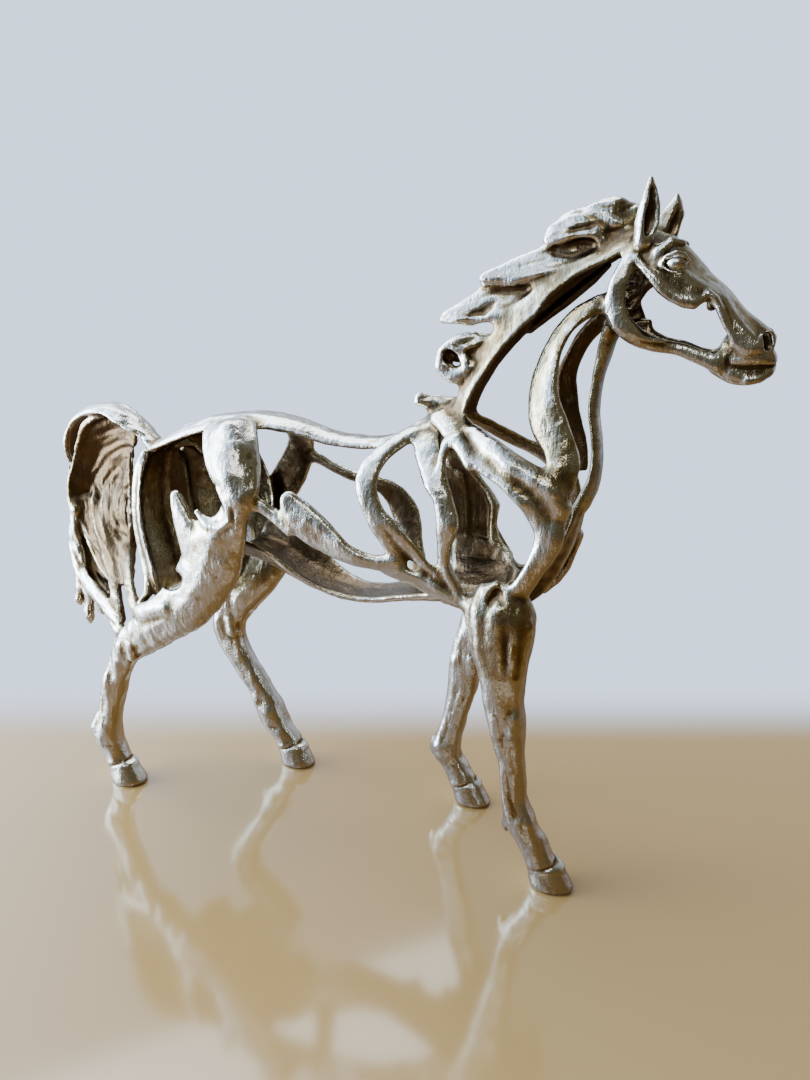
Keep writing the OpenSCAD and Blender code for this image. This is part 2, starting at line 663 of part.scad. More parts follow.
// ---------------------------------------------------------------- pins
// A pin centred on p along v. gap makes the bore that it sits in.
bore_depth = 0.5;
module pin(p, v, gap) translate(p)
    rotate([0, acos(unit(v)[2]), atan2(v[1], v[0])])
    cylinder(d = pin_d + 2 * gap, h = pin_l + (gap > 0 ? 2 * bore_depth : 0), center = true, $fn = 32);

// One pin through the split of each leg.
module leg_pins(gap = 0) color(steel)
    for (leg = [[fore_right, fore_right_split], [fore_left, fore_left_split],
                [hind_right, hind_right_split], [hind_left, hind_left_split]])
        pin(xyz(leg[0][leg[1]]), xyz(leg[0][leg[1] - 1]) - xyz(leg[0][leg[1] + 1]), gap);

// One pin from each hoof up into its pastern.
module hoof_pins(gap = 0) color(steel)
    for (h = [fore_right_hoof, fore_left_hoof, hind_right_hoof, hind_left_hoof])
        pin([h[1], h[2] * stance, hoof_h], [h[1] - h[0], 0, hoof_h], gap);

// ---------------------------------------------------------------- nodes
module placed() scale(size_k) translate(-footprint_middle) children();

placed() back_strap();
placed() rump_shell();
placed() right_hip_strap();
placed() right_thigh();
placed() right_thigh_finger();
placed() left_haunch_wall();
placed() left_hip_strap();
placed() left_thigh();
placed() right_flank_strap();
placed() right_belly_strap();
placed() belly_trough();
placed() right_rib_strap();
placed() right_rib_web();
placed() left_rib_strap();
placed() right_elbow_strap();
placed() right_shoulder_strap();
placed() right_scapula_strap();
placed() left_shoulder_wall();
placed() left_scapula_strap();
placed() breast_shell();
placed() breast_lobe();
placed() right_forearm();
placed() left_forearm();
placed() crest();
placed() right_neck_strap();
placed() left_neck_strap();
placed() throat_strap();
placed() face_shell();
placed() muzzle();
placed() right_jaw();
placed() left_jaw();
placed() right_ear();
placed() left_ear();
placed() eyes();
placed() mane_lock_1();
placed() mane_lock_2();
placed() mane_lock_3();
placed() mane_lock_4();
placed() mane_curl();
placed() mane_lock_5();
placed() tail_crown();
placed() tail_shell();
placed() tail_outer_strand();
placed() tail_middle_strand();
placed() tail_inner_strand();
placed() tail_fringe();
placed() right_foreleg();
placed() left_foreleg();
placed() right_hindleg();
placed() left_hindleg();
placed() right_fore_hoof();
placed() left_fore_hoof();
placed() right_hind_hoof();
placed() left_hind_hoof();
placed() leg_pins();
placed() hoof_pins();
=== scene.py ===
"""Openwork horse statuette: a hand-modelled champagne-silver casting on a plain pale floor.

The castings of the frame are fused into one volume, softened and modelled like clay, and cut back
into one closed piece for each CAD node, so that the surface runs smoothly from piece to piece.
Metres; +X towards the head, +Y to the horse's left, +Z up.
"""

import math

import bpy
import numpy as np
import openvdb
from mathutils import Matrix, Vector
from mathutils.bvhtree import BVHTree


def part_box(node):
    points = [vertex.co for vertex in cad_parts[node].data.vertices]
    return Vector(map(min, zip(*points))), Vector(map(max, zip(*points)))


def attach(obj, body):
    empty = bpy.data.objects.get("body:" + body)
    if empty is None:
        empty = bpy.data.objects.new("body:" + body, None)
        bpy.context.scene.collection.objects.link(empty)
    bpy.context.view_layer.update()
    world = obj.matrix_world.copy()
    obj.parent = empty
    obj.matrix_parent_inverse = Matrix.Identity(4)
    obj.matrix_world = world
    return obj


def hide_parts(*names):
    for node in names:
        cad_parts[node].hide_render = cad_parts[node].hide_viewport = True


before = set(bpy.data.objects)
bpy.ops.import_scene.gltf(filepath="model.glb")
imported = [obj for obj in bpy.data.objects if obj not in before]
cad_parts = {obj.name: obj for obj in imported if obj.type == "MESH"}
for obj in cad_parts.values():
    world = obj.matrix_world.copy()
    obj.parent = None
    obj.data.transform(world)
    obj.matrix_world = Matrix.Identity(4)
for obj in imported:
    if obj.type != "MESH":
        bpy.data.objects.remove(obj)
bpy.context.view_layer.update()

MM = 0.001
VOXEL = 0.6 * MM
FILLET = 1.6 * MM
# How far from the surface the distances reach, in voxels.
BAND = 9
FIRST_BLUR = 0.75 * MM
LAST_BLUR = 0.45 * MM
HIDDEN_NODES = ("leg_pins", "hoof_pins")
EYE_NODE = "eyes"
CAST_NODES = [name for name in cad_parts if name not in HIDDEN_NODES and name != EYE_NODE]

MANE = ("mane_lock_1", "mane_lock_2", "mane_lock_3", "mane_lock_4", "mane_lock_5", "mane_curl")
TAIL = ("tail_crown", "tail_shell", "tail_outer_strand", "tail_middle_strand",
        "tail_inner_strand", "tail_fringe")
LEGS = ("right_foreleg", "left_foreleg", "right_hindleg", "left_hindleg", "right_forearm",
        "left_forearm")
# Castings painted darker all over, as painted shade where less light falls on them.
SHADED_CASTINGS = ("right_neck_strap", "left_neck_strap", "crest", "right_forearm", "breast_shell")
# The inside of the tail, painted darker as painted shade behind its strands.
LEAF = ("tail_shell", "tail_middle_strand", "tail_inner_strand")
# Castings whose foot is painted lighter, with less painted shade.
PALE = ("left_haunch_wall",)
GROUPS = {"mane": MANE, "tail": TAIL, "legs": LEGS, "painted_shade": SHADED_CASTINGS, "leaf": LEAF, "pale": PALE}


# ---------------------------------------------------------------- camera, floor and light
CAMERA_PLACE = Vector((0.1494, -0.33055, 0.266))
CAMERA_TURN = math.radians(20.5)
CAMERA_DIP = math.radians(18.1)
CAMERA_LENS = 26.93
SENSOR_WIDTH = 36
BACKDROP = (1.25, 1.50, 1.95)
VIEW_DIRECTION = Vector((-math.sin(CAMERA_TURN) * math.cos(CAMERA_DIP),
                         math.cos(CAMERA_TURN) * math.cos(CAMERA_DIP),
                         -math.sin(CAMERA_DIP)))


def make_camera():
    data = bpy.data.cameras.new("camera")
    data.lens = CAMERA_LENS
    data.sensor_width = SENSOR_WIDTH
    data.sensor_fit = "AUTO"
    data.clip_start = 0.01
    camera = bpy.data.objects.new("camera", data)
    camera.location = CAMERA_PLACE
    camera.rotation_mode = "QUATERNION"
    camera.rotation_quaternion = VIEW_DIRECTION.to_track_quat("-Z", "Y")
    bpy.context.scene.collection.objects.link(camera)
    bpy.context.scene.camera = camera


def area_light(name, place, aim, size, power, colour):
    data = bpy.data.lights.new(name, "AREA")
    data.shape = "RECTANGLE"
    data.size, data.size_y = size
    data.energy = power
    data.color = colour
    light = bpy.data.objects.new(name, data)
    light.location = place
    light.rotation_mode = "QUATERNION"
    light.rotation_quaternion = (Vector(aim) - Vector(place)).to_track_quat("-Z", "Y")
    bpy.context.scene.collection.objects.link(light)


def make_lights():
    """A broad cool window on the left, a sky behind, a low light for the legs and a weak front light."""
    middle = (0.0, 0.0, 0.15)
    hooves = (0.0, 0.0, 0.03)
    area_light("window", (-0.95, -0.22, 0.42), middle, (0.7, 1.0), 20, (0.76, 0.89, 1.0))
    area_light("sky", (-0.3, 0.3, 1.0), middle, (0.9, 0.6), 8, (0.93, 0.97, 1.0))
    area_light("low window", (-0.60, -0.38, 0.12), hooves, (0.4, 0.2), 3.5, (0.84, 0.92, 1.0))
    area_light("front", (0.1, -1.0, 0.8), middle, (0.25, 0.35), 1.6, (1.0, 0.98, 0.95))


class Nodes:
    """Short ways to add and join shader nodes in one node tree."""

    def __init__(self, tree):
        self.tree = tree
        tree.nodes.clear()

    def add(self, kind, inputs=None, **settings):
        node = self.tree.nodes.new(kind)
        for name, value in settings.items():
            setattr(node, name, value)
        for name, value in (inputs or {}).items():
            self.join(value, node.inputs[name])
        return node

    def join(self, value, socket):
        if isinstance(value, bpy.types.NodeSocket):
            self.tree.links.new(value, socket)
        else:
            socket.default_value = value

    def ramp(self, factor, stops, interpolation="LINEAR"):
        node = self.add("ShaderNodeValToRGB", {"Fac": factor})
        node.color_ramp.interpolation = interpolation
        elements = node.color_ramp.elements
        while len(elements) < len(stops):
            elements.new(0.5)
        for element, (position, colour) in zip(elements, stops):
            element.position = position
            element.color = (*colour, 1)
        return node.outputs["Color"]

    def mix(self, factor, a, b, blend="MIX"):
        node = self.add("ShaderNodeMix", data_type="RGBA", blend_type=blend)
        self.join(factor, node.inputs[0])
        self.join(a, node.inputs[6])
        self.join(b, node.inputs[7])
        return node.outputs[2]

    def maths(self, operation, a, b):
        node = self.add("ShaderNodeMath", operation=operation)
        self.join(a, node.inputs[0])
        self.join(b, node.inputs[1])
        return node.outputs[0]

    def fused(self, a, b, c):
        """a times b plus c."""
        node = self.add("ShaderNodeMath", operation="MULTIPLY_ADD")
        for number, value in enumerate((a, b, c)):
            self.join(value, node.inputs[number])
        return node.outputs[0]

    def towards(self, vector, direction):
        """How far a vector points along a direction."""
        node = self.add("ShaderNodeVectorMath", {0: vector, 1: direction}, operation="DOT_PRODUCT")
        return node.outputs["Value"]

    def noise(self, vector, scale, detail=4.0, roughness=0.55):
        node = self.add("ShaderNodeTexNoise", {"Vector": vector, "Scale": scale, "Detail": detail,
                                               "Roughness": roughness})
        return node.outputs["Fac"]


WINDOW_DIRECTION = (-0.91, -0.12, 0.40)
WALL_GLOW = (0.50, 0.56, 0.68, 1)


def make_world():
    """A plain pale backdrop. Reflections see a bright window on the left and a dim warm room."""
    world = bpy.data.worlds.new("studio")
    bpy.context.scene.world = world
    world.use_nodes = True
    nodes = Nodes(world.node_tree)
    direction = nodes.add("ShaderNodeTexCoord").outputs["Generated"]
    to_window = nodes.towards(direction, WINDOW_DIRECTION)
    room = nodes.ramp(nodes.fused(to_window, 0.5, 0.5), [
        (0.0, (0.12, 0.075, 0.03)), (0.45, (0.10, 0.09, 0.055)), (0.68, (0.20, 0.20, 0.17)),
        (0.80, (0.85, 1.1, 1.45)), (0.9, (2.2, 2.8, 3.7)), (1.0, (3.0, 3.8, 5.0))])
    wall = nodes.maths("MAXIMUM", nodes.towards(direction, (0.0, 1.0, 0.0)), 0.0)
    reflected = nodes.mix(wall, room, WALL_GLOW, "ADD")
    seen = nodes.add("ShaderNodeLightPath").outputs["Is Camera Ray"]
    colour = nodes.mix(seen, reflected, (*BACKDROP, 1))
    background = nodes.add("ShaderNodeBackground", {"Color": colour, "Strength": 1.0})
    nodes.add("ShaderNodeOutputWorld", {"Surface": background.outputs[0]})


FLOOR_REACH = 4.0
# Dims the board for the light it sends back, so that the undersides stay brown.
BOUNCE_TINT = (0.36, 0.28, 0.18, 1)


def make_floor():
    """A pale board under the statuette that fades into the backdrop behind it and far away."""
    mesh = bpy.data.meshes.new("floor")
    corners = [(FLOOR_REACH * x, FLOOR_REACH * y, 0) for x, y in ((-1, -1), (1, -1), (1, 1), (-1, 1))]
    mesh.from_pydata(corners, [], [(0, 1, 2, 3)])
    floor = bpy.data.objects.new("floor", mesh)
    bpy.context.scene.collection.objects.link(floor)
    material = bpy.data.materials.new("pale_floor")
    material.use_nodes = True
    nodes = Nodes(material.node_tree)
    place = nodes.add("ShaderNodeTexCoord").outputs["Object"]
    ahead = nodes.towards(place, (-math.sin(CAMERA_TURN), math.cos(CAMERA_TURN), 0))
    behind = nodes.ramp(ahead, [(0.06, (0, 0, 0)), (0.13, (1, 1, 1))], "EASE")
    away = nodes.add("ShaderNodeVectorMath", {0: place}, operation="LENGTH").outputs["Value"]
    far_away = nodes.ramp(away, [(0.5, (0, 0, 0)), (0.8, (1, 1, 1))], "EASE")
    fade = nodes.maths("MAXIMUM", behind, far_away)
    tint = nodes.ramp(away, [(0.40, (0.38, 0.235, 0.085)), (0.85, (0.10, 0.08, 0.05))])
    seen = nodes.add("ShaderNodeLightPath").outputs["Is Camera Ray"]
    bounced = nodes.mix(1.0, tint, BOUNCE_TINT, "MULTIPLY")
    colour = nodes.mix(seen, bounced, tint)
    board = nodes.add("ShaderNodeBsdfPrincipled", {"Base Color": colour, "Roughness": 0.10, "IOR": 1.75})
    far = nodes.add("ShaderNodeEmission", {"Color": (*BACKDROP, 1), "Strength": 1.0})
    share = nodes.maths("MULTIPLY", fade, seen)
    shader = nodes.add("ShaderNodeMixShader", {0: share, 1: board.outputs[0], 2: far.outputs[0]})
    nodes.add("ShaderNodeOutputMaterial", {"Surface": shader.outputs[0]})
    mesh.materials.append(material)


# ---------------------------------------------------------------- clay volume
def triangles_of(node):
    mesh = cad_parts[node].data
    mesh.calc_loop_triangles()
    points = np.empty(len(mesh.vertices) * 3, np.float32)
    mesh.vertices.foreach_get("co", points)
    corners = np.empty(len(mesh.loop_triangles) * 3, np.int32)
    mesh.loop_triangles.foreach_get("vertices", corners)
    return points.reshape(-1, 3), corners.reshape(-1, 3)


def all_castings():
    """Points, triangles and the number of each triangle's node, for all castings together."""
    points, faces, owners, count = [], [], [], 0
    for number, node in enumerate(CAST_NODES):
        node_points, node_faces = triangles_of(node)
        points.append(node_points)
        faces.append(node_faces + count)
        owners.append(np.full(len(node_faces), number))
        count += len(node_points)
    return np.concatenate(points), np.concatenate(faces), np.concatenate(owners)


def level_set(points, triangles, quads=None, voxel=VOXEL, band=BAND):
    return openvdb.FloatGrid.createLevelSetFromPolygons(
        points.astype(np.float32), triangles=triangles.astype(np.uint32), quads=quads,
        transform=openvdb.createLinearTransform(voxel), halfWidth=float(band))


def closed_by(grid, radius):
    """The volume grown by radius and shrunk again, which rounds every inner corner."""
    band = radius / VOXEL + 2
    points, triangles, quads = grid.convertToPolygons(isovalue=radius)
    grown = level_set(points, triangles, quads, band=band)
    points, triangles, quads = grown.convertToPolygons(isovalue=-radius)
    return level_set(points, triangles, quads)


class Clay:
    """A box of signed distances, in metres, that strokes can build up and cut away."""

    def __init__(self, grid, voxel):
        low, high = grid.evalActiveVoxelBoundingBox()
        self.voxel = voxel
        self.low = np.array(low)
        self.field = np.empty(tuple(np.array(high) - self.low + 1), np.float32)
        grid.copyToArray(self.field, ijk=tuple(low))

    def soften(self, spread):
        """Blurs the distances by spread, in metres."""
        for _ in range(round(2 * (spread / self.voxel) ** 2)):
            for axis in range(3):
                f = np.moveaxis(self.field, axis, 0)
                middle = f[1:-1] * 0.5
                middle += f[:-2] * 0.25
                middle += f[2:] * 0.25
                f[1:-1] = middle

    def window(self, points, reach):
        """The part of the box within reach of the points, and the places of its voxels."""
        first = np.floor((points.min(0) - reach) / self.voxel).astype(int) - self.low
        last = np.ceil((points.max(0) + reach) / self.voxel).astype(int) - self.low + 1
        first = np.clip(first, 0, np.array(self.field.shape) - 2)
        last = np.clip(last, first + 1, self.field.shape)
        cut = tuple(slice(a, b) for a, b in zip(first, last))
        axes = [(np.arange(a, b) + o) * self.voxel for a, b, o in zip(first, last, self.low)]
        return cut, np.stack(np.meshgrid(*axes, indexing="ij"), -1).astype(np.float32)

    def add(self, stations, blend=1.0):
        """Adds a round stroke. A station is [x, y, z, radius], in millimetres, as is the blend."""
        self.stroke(stations, blend, 1)

    def cut(self, stations, blend=1.0):
        """Cuts a round stroke away."""
        self.stroke(stations, blend, -1)

    def stroke(self, stations, blend, sign):
        """Joins a round stroke to the clay where sign is 1, and cuts it away where sign is -1."""
        stations = np.array(stations, float) * MM
        blend *= MM
        cut, places = self.window(stations[:, :3], stations[:, 3].max() + 3 * blend)
        distance = np.full(places.shape[:3], 1.0, np.float32)
        for a, b in zip(stations[:-1], stations[1:]):
            along = b[:3] - a[:3]
            t = np.clip(((places - a[:3]) @ along) / (along @ along), 0, 1)
            gap = np.linalg.norm(places - a[:3] - t[..., None] * along, axis=-1)
            distance = np.minimum(distance, gap - (a[3] + t * (b[3] - a[3])))
        old = self.field[cut]
        spare = np.maximum(blend - np.abs(sign * old - distance), 0) / blend
        self.field[cut] = sign * (np.minimum(sign * old, distance) - spare ** 2 * blend / 4)

    def surface(self):
        grid = openvdb.FloatGrid(float(self.field.max()))
        grid.copyFromArray(self.field, ijk=tuple(int(v) for v in self.low))
        grid.transform = openvdb.createLinearTransform(self.voxel)
        grid.gridClass = openvdb.GridClass.LEVEL_SET
        return grid.convertToPolygons(isovalue=0.0)

    def sample(self, places):
        """Signed distance at each place, between voxels."""
        p = places / self.voxel - self.low
        p = np.clip(p, 0, np.array(self.field.shape) - 1.001)
        base = p.astype(int)
        f = p - base
        total = np.zeros(len(p), np.float32)
        for corner in np.ndindex(2, 2, 2):
            weight = np.prod(np.where(corner, f, 1 - f), axis=1)
            i = base + corner
            total += weight * self.field[i[:, 0], i[:, 1], i[:, 2]]
        return total


# ---------------------------------------------------------------- mesh tools
def vertex_normals(points, quads):
    across = points[quads[:, 2]] - points[quads[:, 0]]
    other = points[quads[:, 3]] - points[quads[:, 1]]
    face_normals = np.cross(across, other)
    normals = np.zeros_like(points)
    for corner in range(4):
        np.add.at(normals, quads[:, corner], face_normals)
    return normals / np.maximum(np.linalg.norm(normals, axis=1, keepdims=True), 1e-20)


LATTICE = np.random.default_rng(7).random((32, 32, 32)).astype(np.float32) * 2 - 1


def lumps(places, size):
    """Smooth noise from -1 to 1. size is the width of its lumps along x, y and z, in metres."""
    p = places / np.array(size)
    base = np.floor(p).astype(int)
    f = p - base
    f = f * f * (3 - 2 * f)
    total = np.zeros(len(p), np.float32)
    for corner in np.ndindex(2, 2, 2):
        weight = np.prod(np.where(corner, f, 1 - f), axis=1)
        i = (base + corner) % len(LATTICE)
        total += weight * LATTICE[i[:, 0], i[:, 1], i[:, 2]]
    return total


RAY_COUNT = 5
RAY_SPREAD = 0.8
RAY_REACHES = (3 * MM, 7 * MM, 13 * MM, 22 * MM)
ODD_DIRECTION = np.array([0.31, 0.52, 0.8])


def hollowness(points, normals, coarse):
    """How shut in each point is, from 0 in the open to 1 in a deep corner."""
    side = np.cross(normals, ODD_DIRECTION)
    side /= np.maximum(np.linalg.norm(side, axis=1, keepdims=True), 1e-9)
    other = np.cross(normals, side)
    total = np.zeros(len(points), np.float32)
    rays = [(0.0, 0.0)] + [(math.cos(a), math.sin(a)) for a in np.arange(RAY_COUNT) * math.tau / RAY_COUNT]
    for u, v in rays:
        ray = normals + RAY_SPREAD * (u * side + v * other)
        ray /= np.linalg.norm(ray, axis=1, keepdims=True)
        shut = np.zeros(len(points), np.float32)
        for reach in RAY_REACHES:
            shut = np.maximum(shut, 1 - coarse.sample(points + ray * reach) / (reach * 0.7))
        total += np.clip(shut, 0, 1)
    return total / len(rays)


# Lines down the middle of the hollow body, neck, head and tail.
CORES = [[(-78, 0, 158), (55, 0, 162)], [(75, 0, 190), (112, 0, 258)], [(120, 0, 262), (160, 0, 236)],
         [(-134, -14, 182), (-136, -14, 120)]]
CORE_REACH = 62 * MM
CORE_FADE = 12 * MM


def inwardness(points, normals):
    """How far each point faces a core line, from 0 outside to 1 on the inside of a shell."""
    nearest = np.full(len(points), np.inf)
    facing = np.zeros(len(points))
    for a, b in np.array(CORES) * MM:
        along = b - a
        t = np.clip((points - a) @ along / (along @ along), 0, 1)
        away = points - a - t[:, None] * along
        gap = np.linalg.norm(away, axis=1)
        inward = -(normals * away).sum(axis=1) / np.maximum(gap, 1e-9)
        facing = np.where(gap < nearest, inward, facing)
        nearest = np.minimum(nearest, gap)
    return np.clip(facing, 0, 1) * np.clip((CORE_REACH - nearest) / CORE_FADE, 0, 1)


def spread_out(values, quads, rounds):
    """Averages values with their neighbours' along the surface."""
    count = np.bincount(quads.ravel(), minlength=len(values))
    for _ in range(rounds):
        face_values = values[quads].mean(axis=1)
        total = np.bincount(quads.ravel(), np.repeat(face_values, 4), minlength=len(values))
        values = total / count
    return values


CREASE_DEPTH = 0.24 * MM


def crease_depth(points, normals, quads):
    """Positive in fine creases and negative on fine ridges."""
    smooth = np.stack([spread_out(points[:, axis], quads, 8) for axis in range(3)], axis=1)
    rise = ((smooth - points) * normals).sum(axis=1)
    return np.clip(rise / CREASE_DEPTH, -0.3, 0.9)


def follow(after, a, b):
    """The next edge of a piece's border after the edge from a to b, turning round b."""
    onward = after[(a, b)]
    while (onward, b) in after:
        onward = after[(onward, b)]
    return b, onward


def border_loops(faces):
    """The closed borders of a set of faces, each as a list of point numbers."""
    starts = faces.ravel()
    ends = np.roll(faces, -1, axis=1).ravel()
    nexts = np.roll(faces, -2, axis=1).ravel()
    size = int(faces.max()) + 1
    forward = starts.astype(np.int64) * size + ends
    backward = ends.astype(np.int64) * size + starts
    open_edges = ~np.isin(forward, backward)
    rim = np.zeros(size, bool)
    rim[starts[open_edges]] = True
    near = np.repeat(rim[faces].any(axis=1), faces.shape[1])
    after = dict(zip(zip(starts[near].tolist(), ends[near].tolist()), nexts[near].tolist()))
    waiting = dict.fromkeys(zip(starts[open_edges].tolist(), ends[open_edges].tolist()))
    loops = []
    while waiting:
        first = next(iter(waiting))
        edge, loop = first, []
        while edge in waiting:
            del waiting[edge]
            loop.append(edge[0])
            edge = follow(after, *edge)
        loops.append(loop)
    return loops


def least_area_fill(corners):
    """Triangles that close a loop of places with the least area, as numbers into the loop."""
    count = len(corners)
    cost = np.zeros((count, count))
    pick = np.zeros((count, count), int)
    for span in range(2, count):
        i = np.arange(count - span)
        j = i + span
        k = i[:, None] + np.arange(1, span)
        a = corners[k] - corners[i][:, None]
        b = (corners[j] - corners[i])[:, None]
        area = np.linalg.norm(np.cross(a, b), axis=-1)
        total = cost[i[:, None], k] + cost[k, j[:, None]] + area
        best = total.argmin(axis=1)
        cost[i, j] = total[i, best]
        pick[i, j] = best + i + 1
    triangles, waiting = [], [(0, count - 1)]
    while waiting:
        i, j = waiting.pop()
        if j - i < 2:
            continue
        k = int(pick[i, j])
        triangles.append((i, k, j))
        waiting += [(i, k), (k, j)]
    return triangles


SINK = 0.8 * MM
LEAST_SINK = 0.1 * SINK


def edges_of(faces):
    """Every edge of a set of faces, as pairs of point numbers with the smaller first."""
    ends = np.stack([faces.ravel(), np.roll(faces, -1, axis=1).ravel()], axis=1)
    return set(map(tuple, np.sort(ends, axis=1).tolist()))


def chords_of(triangles, rim):
    """The inner edges of the fill of a rim, as pairs of point numbers with the smaller first."""
    edges = {edge for i, k, j in triangles for edge in ((i, k), (k, j), (i, j))}
    inner = [(a, b) for a, b in edges if b - a > 1 and (a, b) != (0, len(rim) - 1)]
    return [(min(rim[a], rim[b]), max(rim[a], rim[b])) for a, b in inner]


def close_loop(rim, corners, normals, clay, taken):
    """Triangles that close a border inside the material, and the sunk places they use, if any.

    A flat fill is used where it lies inside the clay and its edges are new. Elsewhere the border is
    sunk below the skin first, and filled there.
    """
    triangles = least_area_fill(corners)
    chords = chords_of(triangles, rim)
    single = len(set(chords)) == len(chords) and all(a != b for a, b in chords)
    clear = single and taken.isdisjoint(chords)
    if clear and clay.sample(corners[np.array(triangles)].mean(axis=1)).max() < 0:
        taken.update(chords)
        return triangles, corners[:0]
    depth = (SINK - clay.sample(corners - normals * SINK)) / 2
    eased = (np.roll(corners, 1, axis=0) + corners + np.roll(corners, -1, axis=0)) / 3
    sunk = eased - normals * np.clip(depth, LEAST_SINK, SINK)[:, None]
    count = len(corners)
    strip = []
    for i in range(count):
        j = (i + 1) % count
        strip += [(i, j, count + j), (i, count + j, count + i)]
    inner = [(count + i, count + k, count + j) for i, k, j in least_area_fill(sunk)]
    return strip + inner, sunk


def face_neighbours(quads):
    """For each quad, the quad across each of its four edges."""
    starts = quads.ravel().astype(np.int64)
    ends = np.roll(quads, -1, axis=1).ravel().astype(np.int64)
    key = np.minimum(starts, ends) * (int(quads.max()) + 1) + np.maximum(starts, ends)
    order = np.argsort(key, kind="stable")
    across = np.empty(len(key), np.int64)
    pairs = order.reshape(-1, 2)
    across[pairs[:, 0]] = pairs[:, 1] // 4
    across[pairs[:, 1]] = pairs[:, 0] // 4
    return across.reshape(-1, 4)


CRUMB = -1


def steady_labels(labels, neighbours, rounds=6, least_share=0.2):
    """Gives stray faces and small islands to the piece round them, and marks loose crumbs."""
    for _ in range(rounds):
        near = labels[neighbours]
        for corner in range(4):
            rival = near[:, corner]
            votes = (near == rival[:, None]).sum(axis=1)
            labels = np.where((votes >= 3) & (rival != labels), rival, labels)
    island, names, sizes = islands_of(labels, neighbours)
    largest = np.zeros(labels.max() + 1, int)
    np.maximum.at(largest, names, sizes)
    small = (sizes < least_share * largest[names])[island]
    while small.any():
        before = small.sum()
        for corner in range(4):
            across = neighbours[:, corner]
            take = small & ~small[across]
            labels = np.where(take, labels[across], labels)
            small = small & ~take
        if small.sum() == before:
            labels = np.where(small, CRUMB, labels)
            break
    return labels


def islands_of(labels, neighbours):
    """The island each face is in, and the label and size of each island."""
    island = [-1] * len(labels)
    links, names = neighbours.tolist(), labels.tolist()
    island_names, sizes = [], []
    for seed, name in enumerate(names):
        if island[seed] >= 0:
            continue
        number, stack, size = len(sizes), [seed], 0
        island[seed] = number
        while stack:
            face = stack.pop()
            size += 1
            for other in links[face]:
                if island[other] < 0 and names[other] == name:
                    island[other] = number
                    stack.append(other)
        island_names.append(name)
        sizes.append(size)
    return np.array(island), np.array(island_names), np.array(sizes)


# ---------------------------------------------------------------- modelling
# Stations are [x, y, z, radius] in millimetres, and the last number of a stroke is its blend.
HEAD_MIDDLE = 1.3


def both_sides(work, stations, blend=1.0):
    """Works a stroke on the right side of the head and its mirror on the left."""
    work(stations, blend)
    work([[x, 2 * HEAD_MIDDLE - y, z, r] for x, y, z, r in stations], blend)


def model_eyes(clay):
    """Lids with a crease above them, under a brow, and a fold below."""
    upper_lid = [[128, -11.2, 270.3, 0.7], [129.9, -12.7, 272.7, 1], [133, -13.3, 274, 1.1],
                 [136, -12.4, 273.3, 1.1], [138.1, -10.6, 270.6, 0.9]]
    lower_lid = [[128.4, -11.8, 269.6, 0.6], [131.4, -12.9, 267.6, 0.8], [134.8, -12.6, 267.2, 0.8],
                 [137.6, -10.8, 269.2, 0.7]]
    crease = [[x - 0.7, y, z + 1.9, 0.5] for x, y, z, r in upper_lid[:4]]
    both_sides(clay.add, [[127.5, -9.6, 275, 1.4], [131, -9.6, 277.6, 1.8], [135, -8, 277.2, 1.4]], 3.5)
    both_sides(clay.cut, crease, 0.6)
    both_sides(clay.add, upper_lid, 0.7)
    both_sides(clay.add, lower_lid, 0.7)
    both_sides(clay.cut, [[129.5, -12.8, 264.2, 0.5], [133.5, -12.4, 263, 0.6],
                          [137, -10.6, 265, 0.4]], 1.0)


def model_muzzle(clay):
    """Flared nostrils, and full lips on each side of the mouth."""
    turns = np.linspace(0, math.tau, 13)
    nostril_rim = [[167.2 + 2.1 * math.cos(a), -4.9 + 0.9 * math.cos(a), 243.6 + 3.4 * math.sin(a), 1]
                   for a in turns]
    both_sides(clay.add, [[155.5, -3.4, 239, 1.6], [160, -3.2, 238.4, 2.6], [166.5, -2.2, 238.4, 3.2]], 2.5)
    both_sides(clay.add, nostril_rim, 1.2)
    both_sides(clay.cut, [[166.8, -5.8, 245.4, 1.5], [167.6, -5.4, 241.8, 1.7]], 0.4)
    both_sides(clay.add, [[156.5, -4.4, 236.6, 0.8], [163.5, -4.4, 237.2, 1.8], [168.5, -3, 237.4, 2]], 2.5)
    both_sides(clay.cut, [[156, -5.8, 234.7, 0.5], [160.7, -5.4, 233.9, 0.9], [164.7, -5.2, 234.2, 1],
                          [168.6, -4, 234.6, 1], [171.8, -1.5, 235, 0.9]], 0.4)
    both_sides(clay.add, [[162, -4.4, 229.2, 1.4], [166, -3.8, 230, 1.6], [169, -2.2, 231.6, 1.3]], 1.5)
    both_sides(clay.cut, [[160.5, -5.6, 231.4, 0.6], [164, -5.4, 231.9, 0.7],
                          [167.5, -4.2, 232.8, 0.6]], 0.6)


